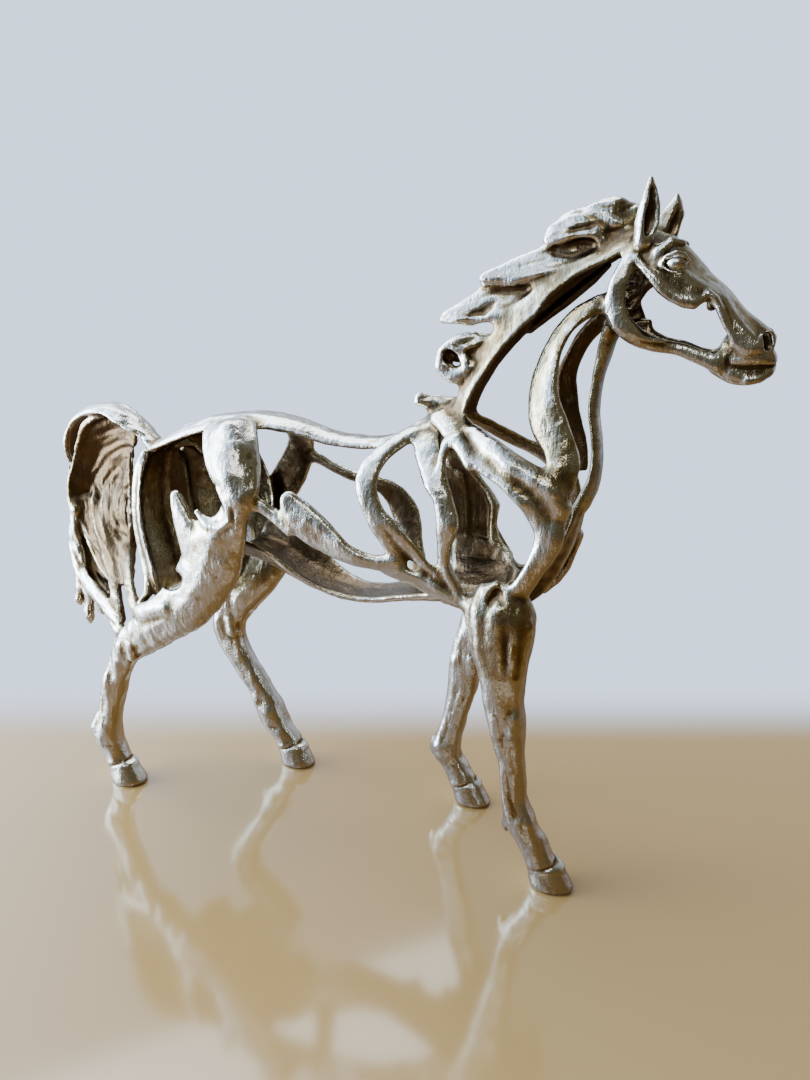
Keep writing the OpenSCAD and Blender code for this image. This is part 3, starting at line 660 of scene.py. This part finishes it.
def model_cheeks(clay):
    """Rolled rims round the opening of the cheek, with the hooks and plates inside it."""
    upper_rim = [[119.3, -10, 272.2, 1], [122.9, -10.5, 268, 1.2], [126.4, -10.8, 264.8, 1.3],
                 [128.9, -10.8, 261.1, 1.2], [132.4, -10.5, 257.9, 1.3], [136.9, -9.9, 255.8, 1.3],
                 [141, -9.4, 255.4, 1.3], [142.9, -9, 257.6, 1.1], [145.1, -8.4, 260.4, 1],
                 [148, -8, 258.2, 1.1], [150.4, -7.6, 253.3, 1.1], [153, -7.1, 248.5, 1.1],
                 [156, -6.6, 243.6, 0.9]]
    lower_rim = [[117.4, -9.6, 271.8, 1], [114.4, -10, 264.2, 1.3], [114.2, -10.3, 258.3, 1.4],
                 [115.4, -10.3, 252.9, 1.3], [118.4, -10.2, 247.8, 1.2], [122.8, -9.8, 244.6, 1],
                 [127.3, -9.4, 243.4, 0.8], [132.7, -8.6, 242.8, 0.6]]
    both_sides(clay.add, [[127, -10.4, 264.4, 1.3], [131, -10.2, 260.4, 1.8], [135.5, -9.8, 257.9, 2.2],
                          [140.6, -9.2, 257.2, 2]], 3.0)
    both_sides(clay.add, upper_rim, 1.2)
    both_sides(clay.add, lower_rim, 1.2)
    plate_root = np.array([[116, 10.5, 270.5], [115.2, 10.5, 266], [115.2, 10.5, 262], [116, 10.5, 258],
                           [117.6, 10.5, 254]])
    for place in plate_root:
        clay.add([[*place, 1.3], [124, 10.5, 263.6, 0.9]], 1.5)
    clay.add([[117.5, 10.5, 247.5, 1.2], [121.2, 10.5, 248.4, 1.2], [124.4, 10.5, 248.9, 1.2],
              [124.4, 10.5, 245, 1.2], [120.5, 10.5, 245.5, 1.4]], 1.2)
    clay.add([[144.2, 8.6, 260.5, 1.3], [146.6, 8.4, 257.5, 1.6], [146.6, 8.4, 255.2, 1.9]], 1.0)


def model_ears(clay):
    """Leaf-shaped ears, scooped out on the side that shows."""
    right_leaf = [[121, -9, 278, 3.2], [122, -9.6, 284, 4.2], [122.6, -10.2, 289.5, 3.7],
                  [122.4, -10.6, 294.6, 2.5], [121.9, -10.6, 298.6, 1.1]]
    right_scoop = [[122.4, -11.6, 280.5, 1.2], [123.8, -12.6, 285, 2.7], [124, -12.8, 289.5, 2.3],
                   [123, -12, 295.5, 0.7]]
    left_leaf = [[126.5, 12, 277, 3.4], [128.2, 12.6, 283, 4.3], [130, 12.8, 288, 3.6],
                 [130.4, 12.8, 292, 2.2], [130.2, 12.8, 294.8, 1.2]]
    left_scoop = [[129, 8.8, 280, 1.4], [130.6, 8.8, 284.5, 2.4], [131.6, 9.4, 288.5, 1.8],
                  [131.4, 10.4, 291.5, 0.7]]
    for leaf, scoop in ((right_leaf, right_scoop), (left_leaf, left_scoop)):
        clay.add(leaf, 1.5)
        clay.cut(scoop, 0.6)


def model_mane(clay):
    """Scooped faces and split tips on the locks, and the spiral of the curl."""
    clay.cut([[92.5, -6.3, 281.8, 1.1], [97, -6.6, 283, 2.2], [101.5, -6.4, 284.2, 2.5],
              [106.5, -6.2, 286, 1.3]], 0.6)
    clay.cut([[83, -4.9, 275, 0.8], [88.5, -4.9, 275.2, 2.3], [94, -5, 274.2, 2],
              [98.5, -5.2, 273.8, 0.9]], 0.6)
    clay.cut([[50, -6.8, 250.6, 0.8], [56, -6.7, 251.6, 2], [61, -6.5, 252.8, 2.6],
              [66, -5.4, 256.8, 1.3]], 0.6)
    clay.cut([[39.5, -2, 250.2, 0.9], [43, -4, 250.6, 0.8], [47, -5.8, 250.9, 0.6]], 0.6)
    # the curl: its core, its eye, its spiral and the hairs that leave it
    clay.add([[45.5, -0.6, 235, 2.6], [50, -0.6, 234, 2.6]], 1.0)
    clay.cut([[47, -8.4, 235.6, 2.4], [48, -6.6, 234.2, 2.7]], 0.6)
    spiral = [[47.8 + r * math.cos(a), -7.6, 234.6 + r * math.sin(a), 0.6]
              for a, r in zip(np.linspace(-2.4, 2.6, 12), np.linspace(6.4, 4.6, 12))]
    clay.cut(spiral, 0.3)
    for shift in (0, 2.6):
        clay.cut([[53.5 + shift, -7.8, 240.8, 0.5], [57 + shift, -7.6, 236.6, 0.6],
                  [56.4 + shift, -7.2, 231.8, 0.5]], 0.3)
    # splits under the lowest lock
    for y in (-7, -3.5, 0, 3.5, 7):
        clay.cut([[38, y, 245.8, 1.5], [50.6, y, 245.2, 1.8], [56.5, y, 244.9, 1]], 0.3)


def sheet(clay, first, last, count, blend=2.0):
    """A wall between two strokes, made by one stroke that sweeps to and fro count times."""
    path = []
    for number, share in enumerate(np.linspace(0, 1, count)):
        line = (1 - share) * np.array(first) + share * np.array(last)
        path += list(line[::-1] if number % 2 else line)
    clay.add(path, blend)


def model_crest(clay):
    """Cuts back the near edge of the crest to show the hollow under it, and deepens its far edge."""
    clay.cut([[107.5, -9, 271, 0.8], [103.5, -9, 267.6, 2], [97.9, -9, 263, 3.1], [90.5, -9, 256.2, 3.3],
              [86.5, -9, 251.4, 2.4], [84.5, -9.6, 248.6, 1.6]], 1.0)
    clay.add([[108, 7, 270, 1], [102, 8, 264.6, 1.7], [91.5, 9.5, 256, 2], [81.5, 10.8, 248, 1.6],
              [77.5, 11, 244.5, 0.9]], 2.0)


def model_forearm(clay):
    """The scooped top of the forearm and the soft hollows between its muscles."""
    # the lip of the scoop, and the scoop
    clay.add([[71.6, -28.6, 134, 1.2], [72.4, -27.4, 141.6, 1.7], [76, -26.4, 145.4, 1.8],
              [80.6, -26.4, 143.6, 1.6], [83.8, -26.8, 138.4, 1.2]], 2.0)
    clay.cut([[74.6, -30.4, 138.4, 1.4], [77, -29.4, 141.6, 2.2], [79.2, -30.4, 139, 1.4]], 1.8)
    # the hollows between the muscles, from the middle to the back and the front
    clay.cut([[81, -35.8, 134, 1], [82.4, -36.4, 124, 2.4], [83.4, -36, 112, 2], [83, -34.8, 98, 0.8]], 3.6)
    clay.cut([[75, -35.2, 132, 0.8], [76.4, -35.4, 120, 1.3], [79, -34.8, 106, 1.1],
              [80.4, -33.6, 94, 0.6]], 3.0)
    clay.cut([[88.2, -32.4, 132, 0.8], [88.8, -32.4, 120, 1.3], [87.6, -31.8, 106, 0.9]], 3.0)


def model_shoulder(clay):
    """The arch between the shoulder straps, the foot of the neck strap, and the far wall's ragged cup."""
    # the arch
    clay.add([[50.2, -23.2, 190, 1.4], [49.8, -21.2, 195, 1.8], [51.4, -19.4, 200.4, 2.4],
              [55.6, -19, 202.8, 2.6], [59.4, -21.6, 199.4, 2.2], [62.6, -24, 193, 1.7]], 2.5)
    # the roll of the neck strap
    clay.add([[62, -14, 205, 3], [70, -21, 201.6, 4], [79, -24.8, 196.4, 4.4], [89, -26, 191.4, 4.6],
              [97.2, -26, 186.4, 4.6], [100.4, -25, 180.6, 4]], 4.0)
    # the far wall, the cup that it turns into, and their ragged rim
    sheet(clay, [[36.8, 25.5, 183, 2], [37.5, 27, 166, 2.2], [39, 27, 150, 2.2], [42, 25.5, 136, 2.2]],
          [[44, 25.5, 178, 2], [45, 27.5, 166, 2.2], [46, 27.5, 150, 2.2], [49, 25.5, 136, 2.2]], 5)
    sheet(clay, [[43, 27, 147, 1.8], [44, 21, 138, 2], [47, 11, 133.5, 2], [48, 0, 131, 2],
                 [48.5, -8, 127, 1.8]],
          [[63.5, 26.5, 143, 1.8], [69, 22, 136.5, 2], [73, 11, 134, 2], [74, 0, 132.5, 2],
           [74.5, -8, 129, 1.8]], 14)
    clay.add([[44.5, 23.5, 187, 1.2], [51.5, 26, 178, 1.5], [57.4, 27, 170.5, 1.4],
              [60.8, 27.5, 163.5, 2.2], [60, 27.5, 154.5, 1.3], [61, 27, 147.5, 2.2],
              [64.6, 26.4, 143.6, 1.5], [69, 24, 140.4, 2.6], [72, 17.5, 137.4, 1.7], [75.4, 12, 136, 2.6],
              [76, 4, 134, 2]], 1.5)


def model_haunch(clay):
    """The rolled rims of the rump and hip, the bulge of the hip strap, and the thigh's lobe and notch."""
    # the rim of the rump
    clay.add([[-106.5, -10.5, 184, 1.4], [-110.1, -12, 176.3, 1.8], [-112.2, -12.8, 165.2, 2.2],
              [-113.4, -12.8, 153.7, 2.4], [-112.8, -12.8, 142.3, 2.4], [-110.8, -13.4, 130.8, 2.4],
              [-107.6, -15.4, 120.1, 2.3], [-106, -19.8, 112.6, 2], [-107.6, -23.6, 109.2, 1.6]], 2.5)
    # the bulge of the hip strap, and the rim round the opening under it
    clay.add([[-50.5, -20, 198, 6.5], [-47, -24, 190, 8.5], [-44.5, -27, 181, 8],
              [-42.5, -29, 173, 6.2]], 4.0)
    clay.add([[-50, -33.4, 176, 1.2], [-44.8, -34.4, 168, 1.5], [-44.6, -34.8, 162, 1.6],
              [-49.5, -34.8, 158.4, 1.6], [-57, -33.8, 158.6, 1.4], [-63, -32.6, 164, 1.2]], 1.5)
    # the thigh's lobe and the notch above it
    clay.add([[-103, -27.5, 106.8, 4.2], [-95, -29.5, 110.4, 4.6], [-86, -31, 113.5, 4.2]], 2.5)
    for x, z in ((-85.5, 132.5), (-82.5, 127.0)):
        clay.cut([[x + 6, -38, z + 4, 4.6], [x - 12, -14, z - 8, 4.6]], 1.5)
    # the curl on the far hip strap
    clay.add([[-108, 12.5, 183, 1.4], [-104.5, 15, 184, 2], [-101, 18, 184.5, 2.2], [-98, 21, 183, 2],
              [-96, 23, 178, 1.6]], 1.5)


def model_tail_leaf(clay):
    """The leaf-shaped inside of the tail: webs between its strands, with a ridge down each edge."""
    # the tapered top of the middle strand
    clay.add([[-153.6, 4.6, 151, 2], [-156, 8.2, 160, 1.3], [-157, 9.8, 167, 0.4]], 2.5)
    # the web from the outer strand to the middle strand
    sheet(clay, [[-165, 3, 150, 1.6], [-162, 3, 143, 1.8], [-158.5, 2.5, 133, 1.8], [-153.5, 1, 122, 1.8],
                 [-146, -2.5, 115.5, 1.6]],
          [[-154, 5, 152, 1.6], [-149.5, 2.6, 143, 1.8], [-146.5, 0.8, 134, 1.8], [-141.5, -2.2, 124, 1.8],
           [-137, -6, 116, 1.6]], 7, 3.0)
    # the ridge down the outer strand
    clay.add([[-167, 0.8, 150.5, 1.2], [-163.5, 1.8, 143, 1.9], [-159.8, 2.4, 132.5, 2.2],
              [-154.6, 1, 121, 2.2], [-146.5, -2.5, 114.5, 2.1], [-136, -8.5, 109.5, 1.8]], 1.5)
    # the web from the middle strand to the inner strand
    sheet(clay, [[-148, 7, 160, 1.6], [-147.5, 3.6, 150, 1.8], [-145.5, 1.4, 136, 1.8],
                 [-139, -2, 124, 1.8], [-132.3, -8, 112, 1.6]],
          [[-131, 6.5, 160, 1.6], [-130, 4, 150, 1.8], [-129.5, 2.5, 133, 1.8], [-128, -4, 120, 1.8],
           [-125.5, -9, 111, 1.6]], 10, 2.5)
    # the inner edge
    clay.add([[-123, -1, 181, 0.9], [-121.6, -4, 172, 1.8], [-122, -4.2, 160, 2.4], [-123.2, -4, 147, 2.4],
              [-126.4, -3.8, 133, 1.8]], 2.5)


def model_tail_fringe(clay):
    """Three hanging tips, fullest near the bottom."""
    for x, y, high, low in ((-169.5, 0.5, 105, 89), (-163, -0.5, 104, 79), (-152, -2, 101, 86)):
        belly = 0.3 * high + 0.7 * low
        clay.add([[x + 4, y - 3, high, 1.6], [x, y, belly, 2.8], [x - 1.5, y + 1.5, low, 0.5]], 2.0)


def model_tail_crown(clay):
    """Grooves that sweep along the crown, its rolled edge, and the tops of the strands under it."""
    for shift in (0, 3.6, 7.2):
        clay.cut([[-112, -3.5, 187 + 0.3 * shift, 0.5], [-124, -6.6, 193.5 + 0.6 * shift, 0.8],
                  [-138, -7.6, 196.5 + 0.8 * shift, 0.9], [-152, -6.6, 192 + 0.7 * shift, 0.8],
                  [-161, -5, 184 + 0.4 * shift, 0.5]], 0.6)
    clay.add([[-164.5, 1, 146, 2.2], [-166, 2, 154, 1.7], [-166.6, 2, 163, 1], [-166, 2, 172, 0.4]], 2.5)
    clay.add([[-129, -1, 138, 2], [-130.4, 0, 147, 1.6], [-131, 1, 157, 1], [-130, 2, 167, 0.4]], 2.5)
    clay.add([[-158, 1.5, 180, 1.4], [-154, 1, 188, 2.2], [-148.5, 0.5, 194, 2.6], [-142, 0.5, 198.2, 2.4],
              [-134, 0.5, 200, 1.6]], 1.5)


# The middle of each leg at its knee or hock, cannon, fetlock, pastern and hoof, as x and z, and its y.
LEG_LINES = (
    (-23, [(82, 82), (84.2, 64), (87.6, 44), (91.6, 30), (96, 21), (100.3, 12)]),
    (25, [(50, 82), (47.8, 64), (43.1, 44), (40.6, 30), (43.6, 21), (48.4, 12)]),
    (-22.6, [(-117, 83), (-128.4, 64), (-135.8, 44), (-139.5, 30), (-137.6, 21), (-134.4, 12)]),
    (25.2, [(-88, 82), (-84.1, 64), (-71.6, 44), (-64.5, 30), (-59.8, 21), (-54.2, 12)]))


def model_legs(clay):
    for y, line in LEG_LINES:
        model_leg(clay, y, line)


def model_leg(clay, y, line):
    """A bony knee, tendons down the cannon, a tuft behind the fetlock and a pastern that flares out."""
    knee, cannon, shin, fetlock, pastern, hoof = line
    for side in (-1, 1):
        flank = y + 6.9 * side
        # the front and back of the knee
        clay.add([[knee[0] + 3.6, y + 4.9 * side, knee[1] + 4, 2.6],
                  [knee[0] + 4, y + 4.7 * side, knee[1] - 3, 2.8]], 2.0)
        clay.add([[knee[0] - 4.5, y + 4.6 * side, knee[1] + 2, 2.2],
                  [knee[0] - 3.6, y + 4.4 * side, knee[1] - 5, 2]], 2.0)
        # the grooves beside the tendons, and the tendon between them
        clay.cut([[knee[0] - 0.8, flank + 1.9 * side, knee[1] - 8, 0.3],
                  [cannon[0] - 1, flank + 1.2 * side, cannon[1] + 2, 0.7],
                  [shin[0] - 1.6, flank + 0.6 * side, shin[1], 0.6],
                  [fetlock[0] - 1.2, flank + 1.4 * side, fetlock[1] + 5, 0.3]], 2.6)
        clay.cut([[cannon[0] + 3.2, flank + 1.4 * side, cannon[1] + 8, 0.3],
                  [cannon[0] + 2.8, flank + 0.6 * side, cannon[1], 0.6],
                  [shin[0] + 2.2, flank + 0.8 * side, shin[1] + 4, 0.3]], 2.4)
        clay.add([[cannon[0] - 3.4, y + 3.6 * side, cannon[1] + 2, 1.2],
                  [shin[0] - 3.8, y + 3.4 * side, shin[1], 1.4],
                  [fetlock[0] - 4.6, y + 4.2 * side, fetlock[1] + 3, 2]], 1.6)
        # the groove under the fetlock
        clay.cut([[fetlock[0] - 5.5, flank - 0.4 * side, fetlock[1] - 3, 0.6],
                  [fetlock[0], flank + 1.2 * side, fetlock[1] - 7, 0.7],
                  [fetlock[0] + 5.5, flank - 0.6 * side, fetlock[1] - 7, 0.5]], 2.0)
    # the fetlock, its tuft and the pastern
    clay.add([[fetlock[0] - 0.8, y, fetlock[1] + 1.5, 6.3], [fetlock[0] + 0.2, y, fetlock[1] - 2, 6]], 2.5)
    clay.add([[fetlock[0] - 6.4, y, fetlock[1] + 3, 2], [fetlock[0] - 8.2, y, fetlock[1] - 2, 1.6],
              [fetlock[0] - 7.6, y, fetlock[1] - 6, 0.8]], 2.0)
    clay.add([[pastern[0], y, pastern[1] + 2, 4.6], [hoof[0] - 0.6, y, hoof[1] + 0.5, 5.8]], 2.5)
    turns = np.linspace(0, math.tau, 17)
    coronet = [[hoof[0] - 0.4 + 6.9 * math.cos(a), y + 6.5 * math.sin(a),
                hoof[1] - 0.8 + 2.2 * math.cos(a), 0.5] for a in turns]
    clay.cut(coronet, 1.0)


def model_strokes(clay):
    model_eyes(clay)
    model_muzzle(clay)
    model_cheeks(clay)
    model_ears(clay)
    model_mane(clay)
    model_crest(clay)
    model_forearm(clay)
    model_shoulder(clay)
    model_haunch(clay)
    model_tail_leaf(clay)
    model_tail_fringe(clay)
    model_tail_crown(clay)
    model_legs(clay)


def turned(points, angle):
    """Places in a frame turned about Y, in metres: along, sideways and across."""
    x, z = points[:, 0], points[:, 2]
    return np.stack([x * math.cos(angle) + z * math.sin(angle), points[:, 1],
                     z * math.cos(angle) - x * math.sin(angle)], axis=1)


TAIL_CENTRE = (-0.124, 0.150)
TAIL_RADIUS = 0.04
MANE_TILT = math.radians(16)


def hair_grain(points, mane, tail):
    """Fine ridges that run along the locks of the mane and round the sweep of the tail."""
    warp = 1.6 * MM * lumps(points + 0.4, (13 * MM,) * 3)
    lock = turned(points, MANE_TILT)
    lock[:, 2] += warp
    sweep = points[:, [0, 2]] - TAIL_CENTRE
    radius = np.hypot(sweep[:, 0], sweep[:, 1])
    turn = np.arctan2(sweep[:, 1], -sweep[:, 0])
    arc = np.stack([turn * TAIL_RADIUS, points[:, 1], radius + warp], axis=1)
    grain = mane * lumps(lock, (17 * MM, 3 * MM, 2.1 * MM))
    grain += tail * lumps(arc, (22 * MM, 3.2 * MM, 2.3 * MM))
    return grain


def drift(points, masks):
    """How far hand modelling moves each point in or out, in metres, from broad swells to fine marks."""
    move = 0.50 * MM * lumps(points, (15 * MM,) * 3)
    move += 0.30 * MM * lumps(points + 0.31, (6 * MM,) * 3)
    move += 0.10 * MM * lumps(points + 0.57, (3.2 * MM,) * 3)
    move += 0.55 * MM * hair_grain(points, masks["mane"], masks["tail"])
    flutes = lumps(points + 0.83, (4.2 * MM, 4.2 * MM, 22 * MM))
    scars = lumps(points + 0.12, (2.6 * MM, 2.6 * MM, 9 * MM))
    return move + masks["legs"] * MM * (0.55 * flutes + 0.26 * scars)


def masks_of(labels, quads, count):
    """How far each point belongs to each group of castings, from 0 to 1, with soft edges."""
    corner_labels = np.zeros(count, int)
    corner_labels[quads.ravel()] = np.repeat(labels, 4)
    masks = {}
    for name, group in GROUPS.items():
        numbers = [CAST_NODES.index(node) for node in group]
        masks[name] = spread_out(np.isin(corner_labels, numbers).astype(float), quads, 6)
    return masks


def modelled_surface(castings, faces):
    """Points and quads of the whole modelled surface, and the clay that it is the skin of."""
    fused = level_set(castings, faces, band=FILLET / VOXEL + 2)
    clay = Clay(closed_by(fused, FILLET), VOXEL)
    clay.soften(FIRST_BLUR)
    model_strokes(clay)
    clay.soften(LAST_BLUR)
    points, _, quads = clay.surface()
    quads = quads[:, ::-1].astype(np.int64)
    return points, quads, clay


COARSE_VOXEL = 1.6 * MM
COARSE_BAND = 16
# How much each cause adds to the brown of the hollows, which is patina with painted shade, and to the
# painted shade of the shaded castings and the leaf.
INSIDE_SHARE = 0.75
STROKE_SHARE = 0.8
CREASE_SHARE = 0.25
HAIR_CREASE_SHARE = 0.6
SHADED_CASTING_SHARE = 0.32
LEAF_SHARE = 0.5
# How much painted shade and patina the foot of the pale castings loses, so that it is painted lighter, and
# the height where that starts.
PALE_SHARE = 0.75
PALE_TOP = 0.178
PALE_FADE = 0.045


def brownness(points, quads, normals, strokes, masks):
    """How brown the metal is at each point, from patination and painted shade: from below 0 where it has a
    pale polish and a painted highlight, to above 1 in the hollows.
    """
    coarse_grid = level_set(points, np.empty((0, 3)), quads.astype(np.uint32), COARSE_VOXEL, COARSE_BAND)
    # Painted shade with patina: darker where the surface is shut in and where it faces the inside of a
    # shell.
    hollow = hollowness(points, normals, Clay(coarse_grid, COARSE_VOXEL))
    hollow = spread_out(np.maximum(hollow, INSIDE_SHARE * inwardness(points, normals)), quads, 2)
    hair = np.maximum(masks["mane"], masks["tail"])
    # Painted shade with patina in the creases, strongest in the grooves of the mane and tail.
    creases = (CREASE_SHARE + HAIR_CREASE_SHARE * hair) * crease_depth(points, normals, quads)
    hollow = hollow + STROKE_SHARE * strokes + creases
    low_down = np.clip((PALE_TOP - points[:, 2]) / PALE_FADE, 0, 1)
    # Painted shade: the shaded castings and the leaf of the tail are painted darker all over.
    hollow = hollow + SHADED_CASTING_SHARE * masks["painted_shade"] + LEAF_SHARE * masks["leaf"]
    # Painted light: the foot of the pale castings loses some of its painted shade and patina, so it is
    # painted lighter.
    return hollow - PALE_SHARE * masks["pale"] * low_down


def make_statue():
    castings, faces, owners = all_castings()
    points, quads, clay = modelled_surface(castings, faces)
    normals = vertex_normals(points, quads)
    tree = BVHTree.FromPolygons(castings.tolist(), faces.tolist())
    centres = points[quads].mean(axis=1)
    labels = np.array([owners[tree.find_nearest(place)[2]] for place in centres.tolist()])
    labels = steady_labels(labels, face_neighbours(quads))
    masks = masks_of(labels, quads, len(points))
    strokes = crease_depth(points, normals, quads)
    points = points + normals * drift(points, masks)[:, None]
    points[:, 2] = np.maximum(points[:, 2], 0.0)
    normals = vertex_normals(points, quads)
    # The patina and painted shade of each point, which the pieces carry as their hollow attribute.
    hollow = brownness(points, quads, normals, strokes, masks)
    bronze = bronze_material()
    for number, node in enumerate(CAST_NODES):
        make_piece(node, points, quads[labels == number], normals, hollow, clay, bronze)


def make_piece(node, points, quads, normals, hollow, clay, material):
    """One closed piece: a node's share of the surface, with each of its borders closed inside the clay."""
    used, local = np.unique(quads, return_inverse=True)
    local = local.reshape(-1, 4)
    corners, normals, hollow = points[used], normals[used], hollow[used]
    triangles = []
    diagonals = edges_of(local[:, ::2]) | edges_of(local[:, 1::2])
    taken = edges_of(local) | diagonals
    for loop in border_loops(local):
        rim = loop[::-1]
        fill, sunk = close_loop(rim, corners[rim], normals[rim], clay, taken)
        places = rim + list(range(len(corners), len(corners) + len(sunk)))
        triangles += [[places[i] for i in t] for t in fill]
        if len(sunk):
            corners = np.append(corners, sunk, axis=0)
            normals = np.append(normals, normals[rim], axis=0)
            hollow = np.append(hollow, hollow[rim])
    mesh = bpy.data.meshes.new(node + "_cast")
    mesh.from_pydata(corners.tolist(), [], local.tolist() + triangles)
    mesh.validate()
    mesh.polygons.foreach_set("use_smooth", np.ones(len(mesh.polygons), bool))
    mesh.normals_split_custom_set_from_vertices(normals.tolist())
    shade = mesh.attributes.new("hollow", "FLOAT", "POINT")
    shade.data.foreach_set("value", hollow.astype(np.float32))
    place_piece(node + "_cast", mesh, material, node)


def place_piece(name, mesh, material, node):
    """Puts a finished mesh in the scene in the place of a CAD node."""
    mesh.materials.append(material)
    piece = bpy.data.objects.new(name, mesh)
    bpy.context.scene.collection.objects.link(piece)
    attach(piece, "root")
    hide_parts(node)


EYE_STRETCH = 1.25
EYE_RINGS = 16
EYE_TURNS = 24


def eyeball(middle, radius, base):
    """The points and faces of one eyeball, stretched along X. Its points are numbered from base."""
    points = [middle + Vector((0, 0, radius))]
    for ring in range(1, EYE_RINGS):
        tilt = math.pi * ring / EYE_RINGS
        for turn in range(EYE_TURNS):
            a = math.tau * turn / EYE_TURNS
            points.append(middle + radius * Vector((EYE_STRETCH * math.sin(tilt) * math.cos(a),
                                                    math.sin(tilt) * math.sin(a), math.cos(tilt))))
    points.append(middle - Vector((0, 0, radius)))
    last = base + len(points) - 1
    faces = []
    for turn in range(EYE_TURNS):
        onward = (turn + 1) % EYE_TURNS
        faces.append((base, base + 1 + turn, base + 1 + onward))
        faces.append((last, last - EYE_TURNS + onward, last - EYE_TURNS + turn))
        for ring in range(EYE_RINGS - 2):
            here = base + 1 + ring * EYE_TURNS
            below = here + EYE_TURNS
            faces.append((here + turn, below + turn, below + onward, here + onward))
    return points, faces


def make_eyes(material):
    low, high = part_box(EYE_NODE)
    radius = (high.x - low.x) / 2
    points, faces = [], []
    for y in (low.y + radius, high.y - radius):
        middle = Vector(((low.x + high.x) / 2, y, (low.z + high.z) / 2))
        ball_points, ball_faces = eyeball(middle, radius, len(points))
        points += ball_points
        faces += ball_faces
    mesh = bpy.data.meshes.new("eyeballs")
    mesh.from_pydata(points, [], faces)
    mesh.polygons.foreach_set("use_smooth", np.ones(len(mesh.polygons), bool))
    place_piece("eyeballs", mesh, material, EYE_NODE)


# ---------------------------------------------------------------- metals
def metal(name):
    material = bpy.data.materials.new(name)
    material.use_nodes = True
    return material, Nodes(material.node_tree)


def bronze_material():
    """Pale champagne-silver bronze, with a pale polish and painted highlights where it stands out, and
    brown patination and painted shade in its hollows.
    """
    material, nodes = metal("champagne_bronze")
    place = nodes.add("ShaderNodeTexCoord").outputs["Object"]
    # The patina and painted shade of each point, below 0 where a painted highlight goes.
    hollow = nodes.add("ShaderNodeAttribute", attribute_name="hollow").outputs["Fac"]
    broad = nodes.noise(place, 42.0, 3.0)
    fine = nodes.noise(place, 260.0, 5.0)
    metal_colour = nodes.ramp(broad, [(0.35, (0.62, 0.60, 0.49)), (0.52, (0.52, 0.46, 0.30)),
                                      (0.66, (0.38, 0.28, 0.13))])
    depth = nodes.fused(nodes.maths("SUBTRACT", fine, 0.5), 0.55, hollow)
    depth = nodes.fused(nodes.maths("SUBTRACT", broad, 0.5), 0.30, depth)
    # Pale polish with painted highlight where the metal stands out.
    polish_and_highlight = nodes.ramp(depth, [(0.0, (1, 1, 1)), (0.08, (0, 0, 0))])
    metal_colour = nodes.mix(polish_and_highlight, metal_colour, (0.76, 0.76, 0.70, 1))
    # Brown patina with painted shade in the hollows, inside the shells and on the shaded castings.
    patina_and_shade = nodes.ramp(depth, [(0.14, (0, 0, 0)), (0.32, (0.42, 0.42, 0.42)), (0.62, (0.94, 0.94, 0.94))])
    brown = nodes.mix(fine, (0.045, 0.027, 0.015, 1), (0.16, 0.10, 0.05, 1))
    colour = nodes.mix(patina_and_shade, metal_colour, brown)
    rough = nodes.fused(patina_and_shade, 0.18, nodes.fused(fine, 0.18, 0.05))
    pits = nodes.noise(place, 620.0, 4.0, 0.6)
    stretched = nodes.add("ShaderNodeMapping", {"Vector": place, "Scale": (1.0, 1.0, 0.28)}).outputs[0]
    brushed = nodes.noise(stretched, 480.0, 3.0, 0.6)
    relief = nodes.fused(pits, 0.4, nodes.fused(brushed, 0.9, fine))
    bump = nodes.add("ShaderNodeBump", {"Height": relief, "Strength": 0.45, "Distance": 0.0008})
    shader = nodes.add("ShaderNodeBsdfPrincipled", {
        "Base Color": colour, "Metallic": 1.0, "Roughness": rough, "Normal": bump.outputs[0]})
    nodes.add("ShaderNodeOutputMaterial", {"Surface": shader.outputs[0]})
    return material


def steel_material():
    material, nodes = metal("drawn_steel")
    place = nodes.add("ShaderNodeTexCoord").outputs["Object"]
    grain = nodes.noise(place, 900.0)
    colour = nodes.mix(grain, (0.55, 0.56, 0.58, 1), (0.68, 0.69, 0.70, 1))
    shader = nodes.add("ShaderNodeBsdfPrincipled", {
        "Base Color": colour, "Metallic": 1.0, "Roughness": 0.35})
    nodes.add("ShaderNodeOutputMaterial", {"Surface": shader.outputs[0]})
    return material


def paint_node(node, material):
    """Gives a CAD node that stays as it is a finished material."""
    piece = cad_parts[node]
    piece.data.materials.clear()
    piece.data.materials.append(material)


make_camera()
make_lights()
make_world()
make_floor()
make_statue()
make_eyes(bpy.data.materials["champagne_bronze"])
steel = steel_material()
for hidden in HIDDEN_NODES:
    paint_node(hidden, steel)
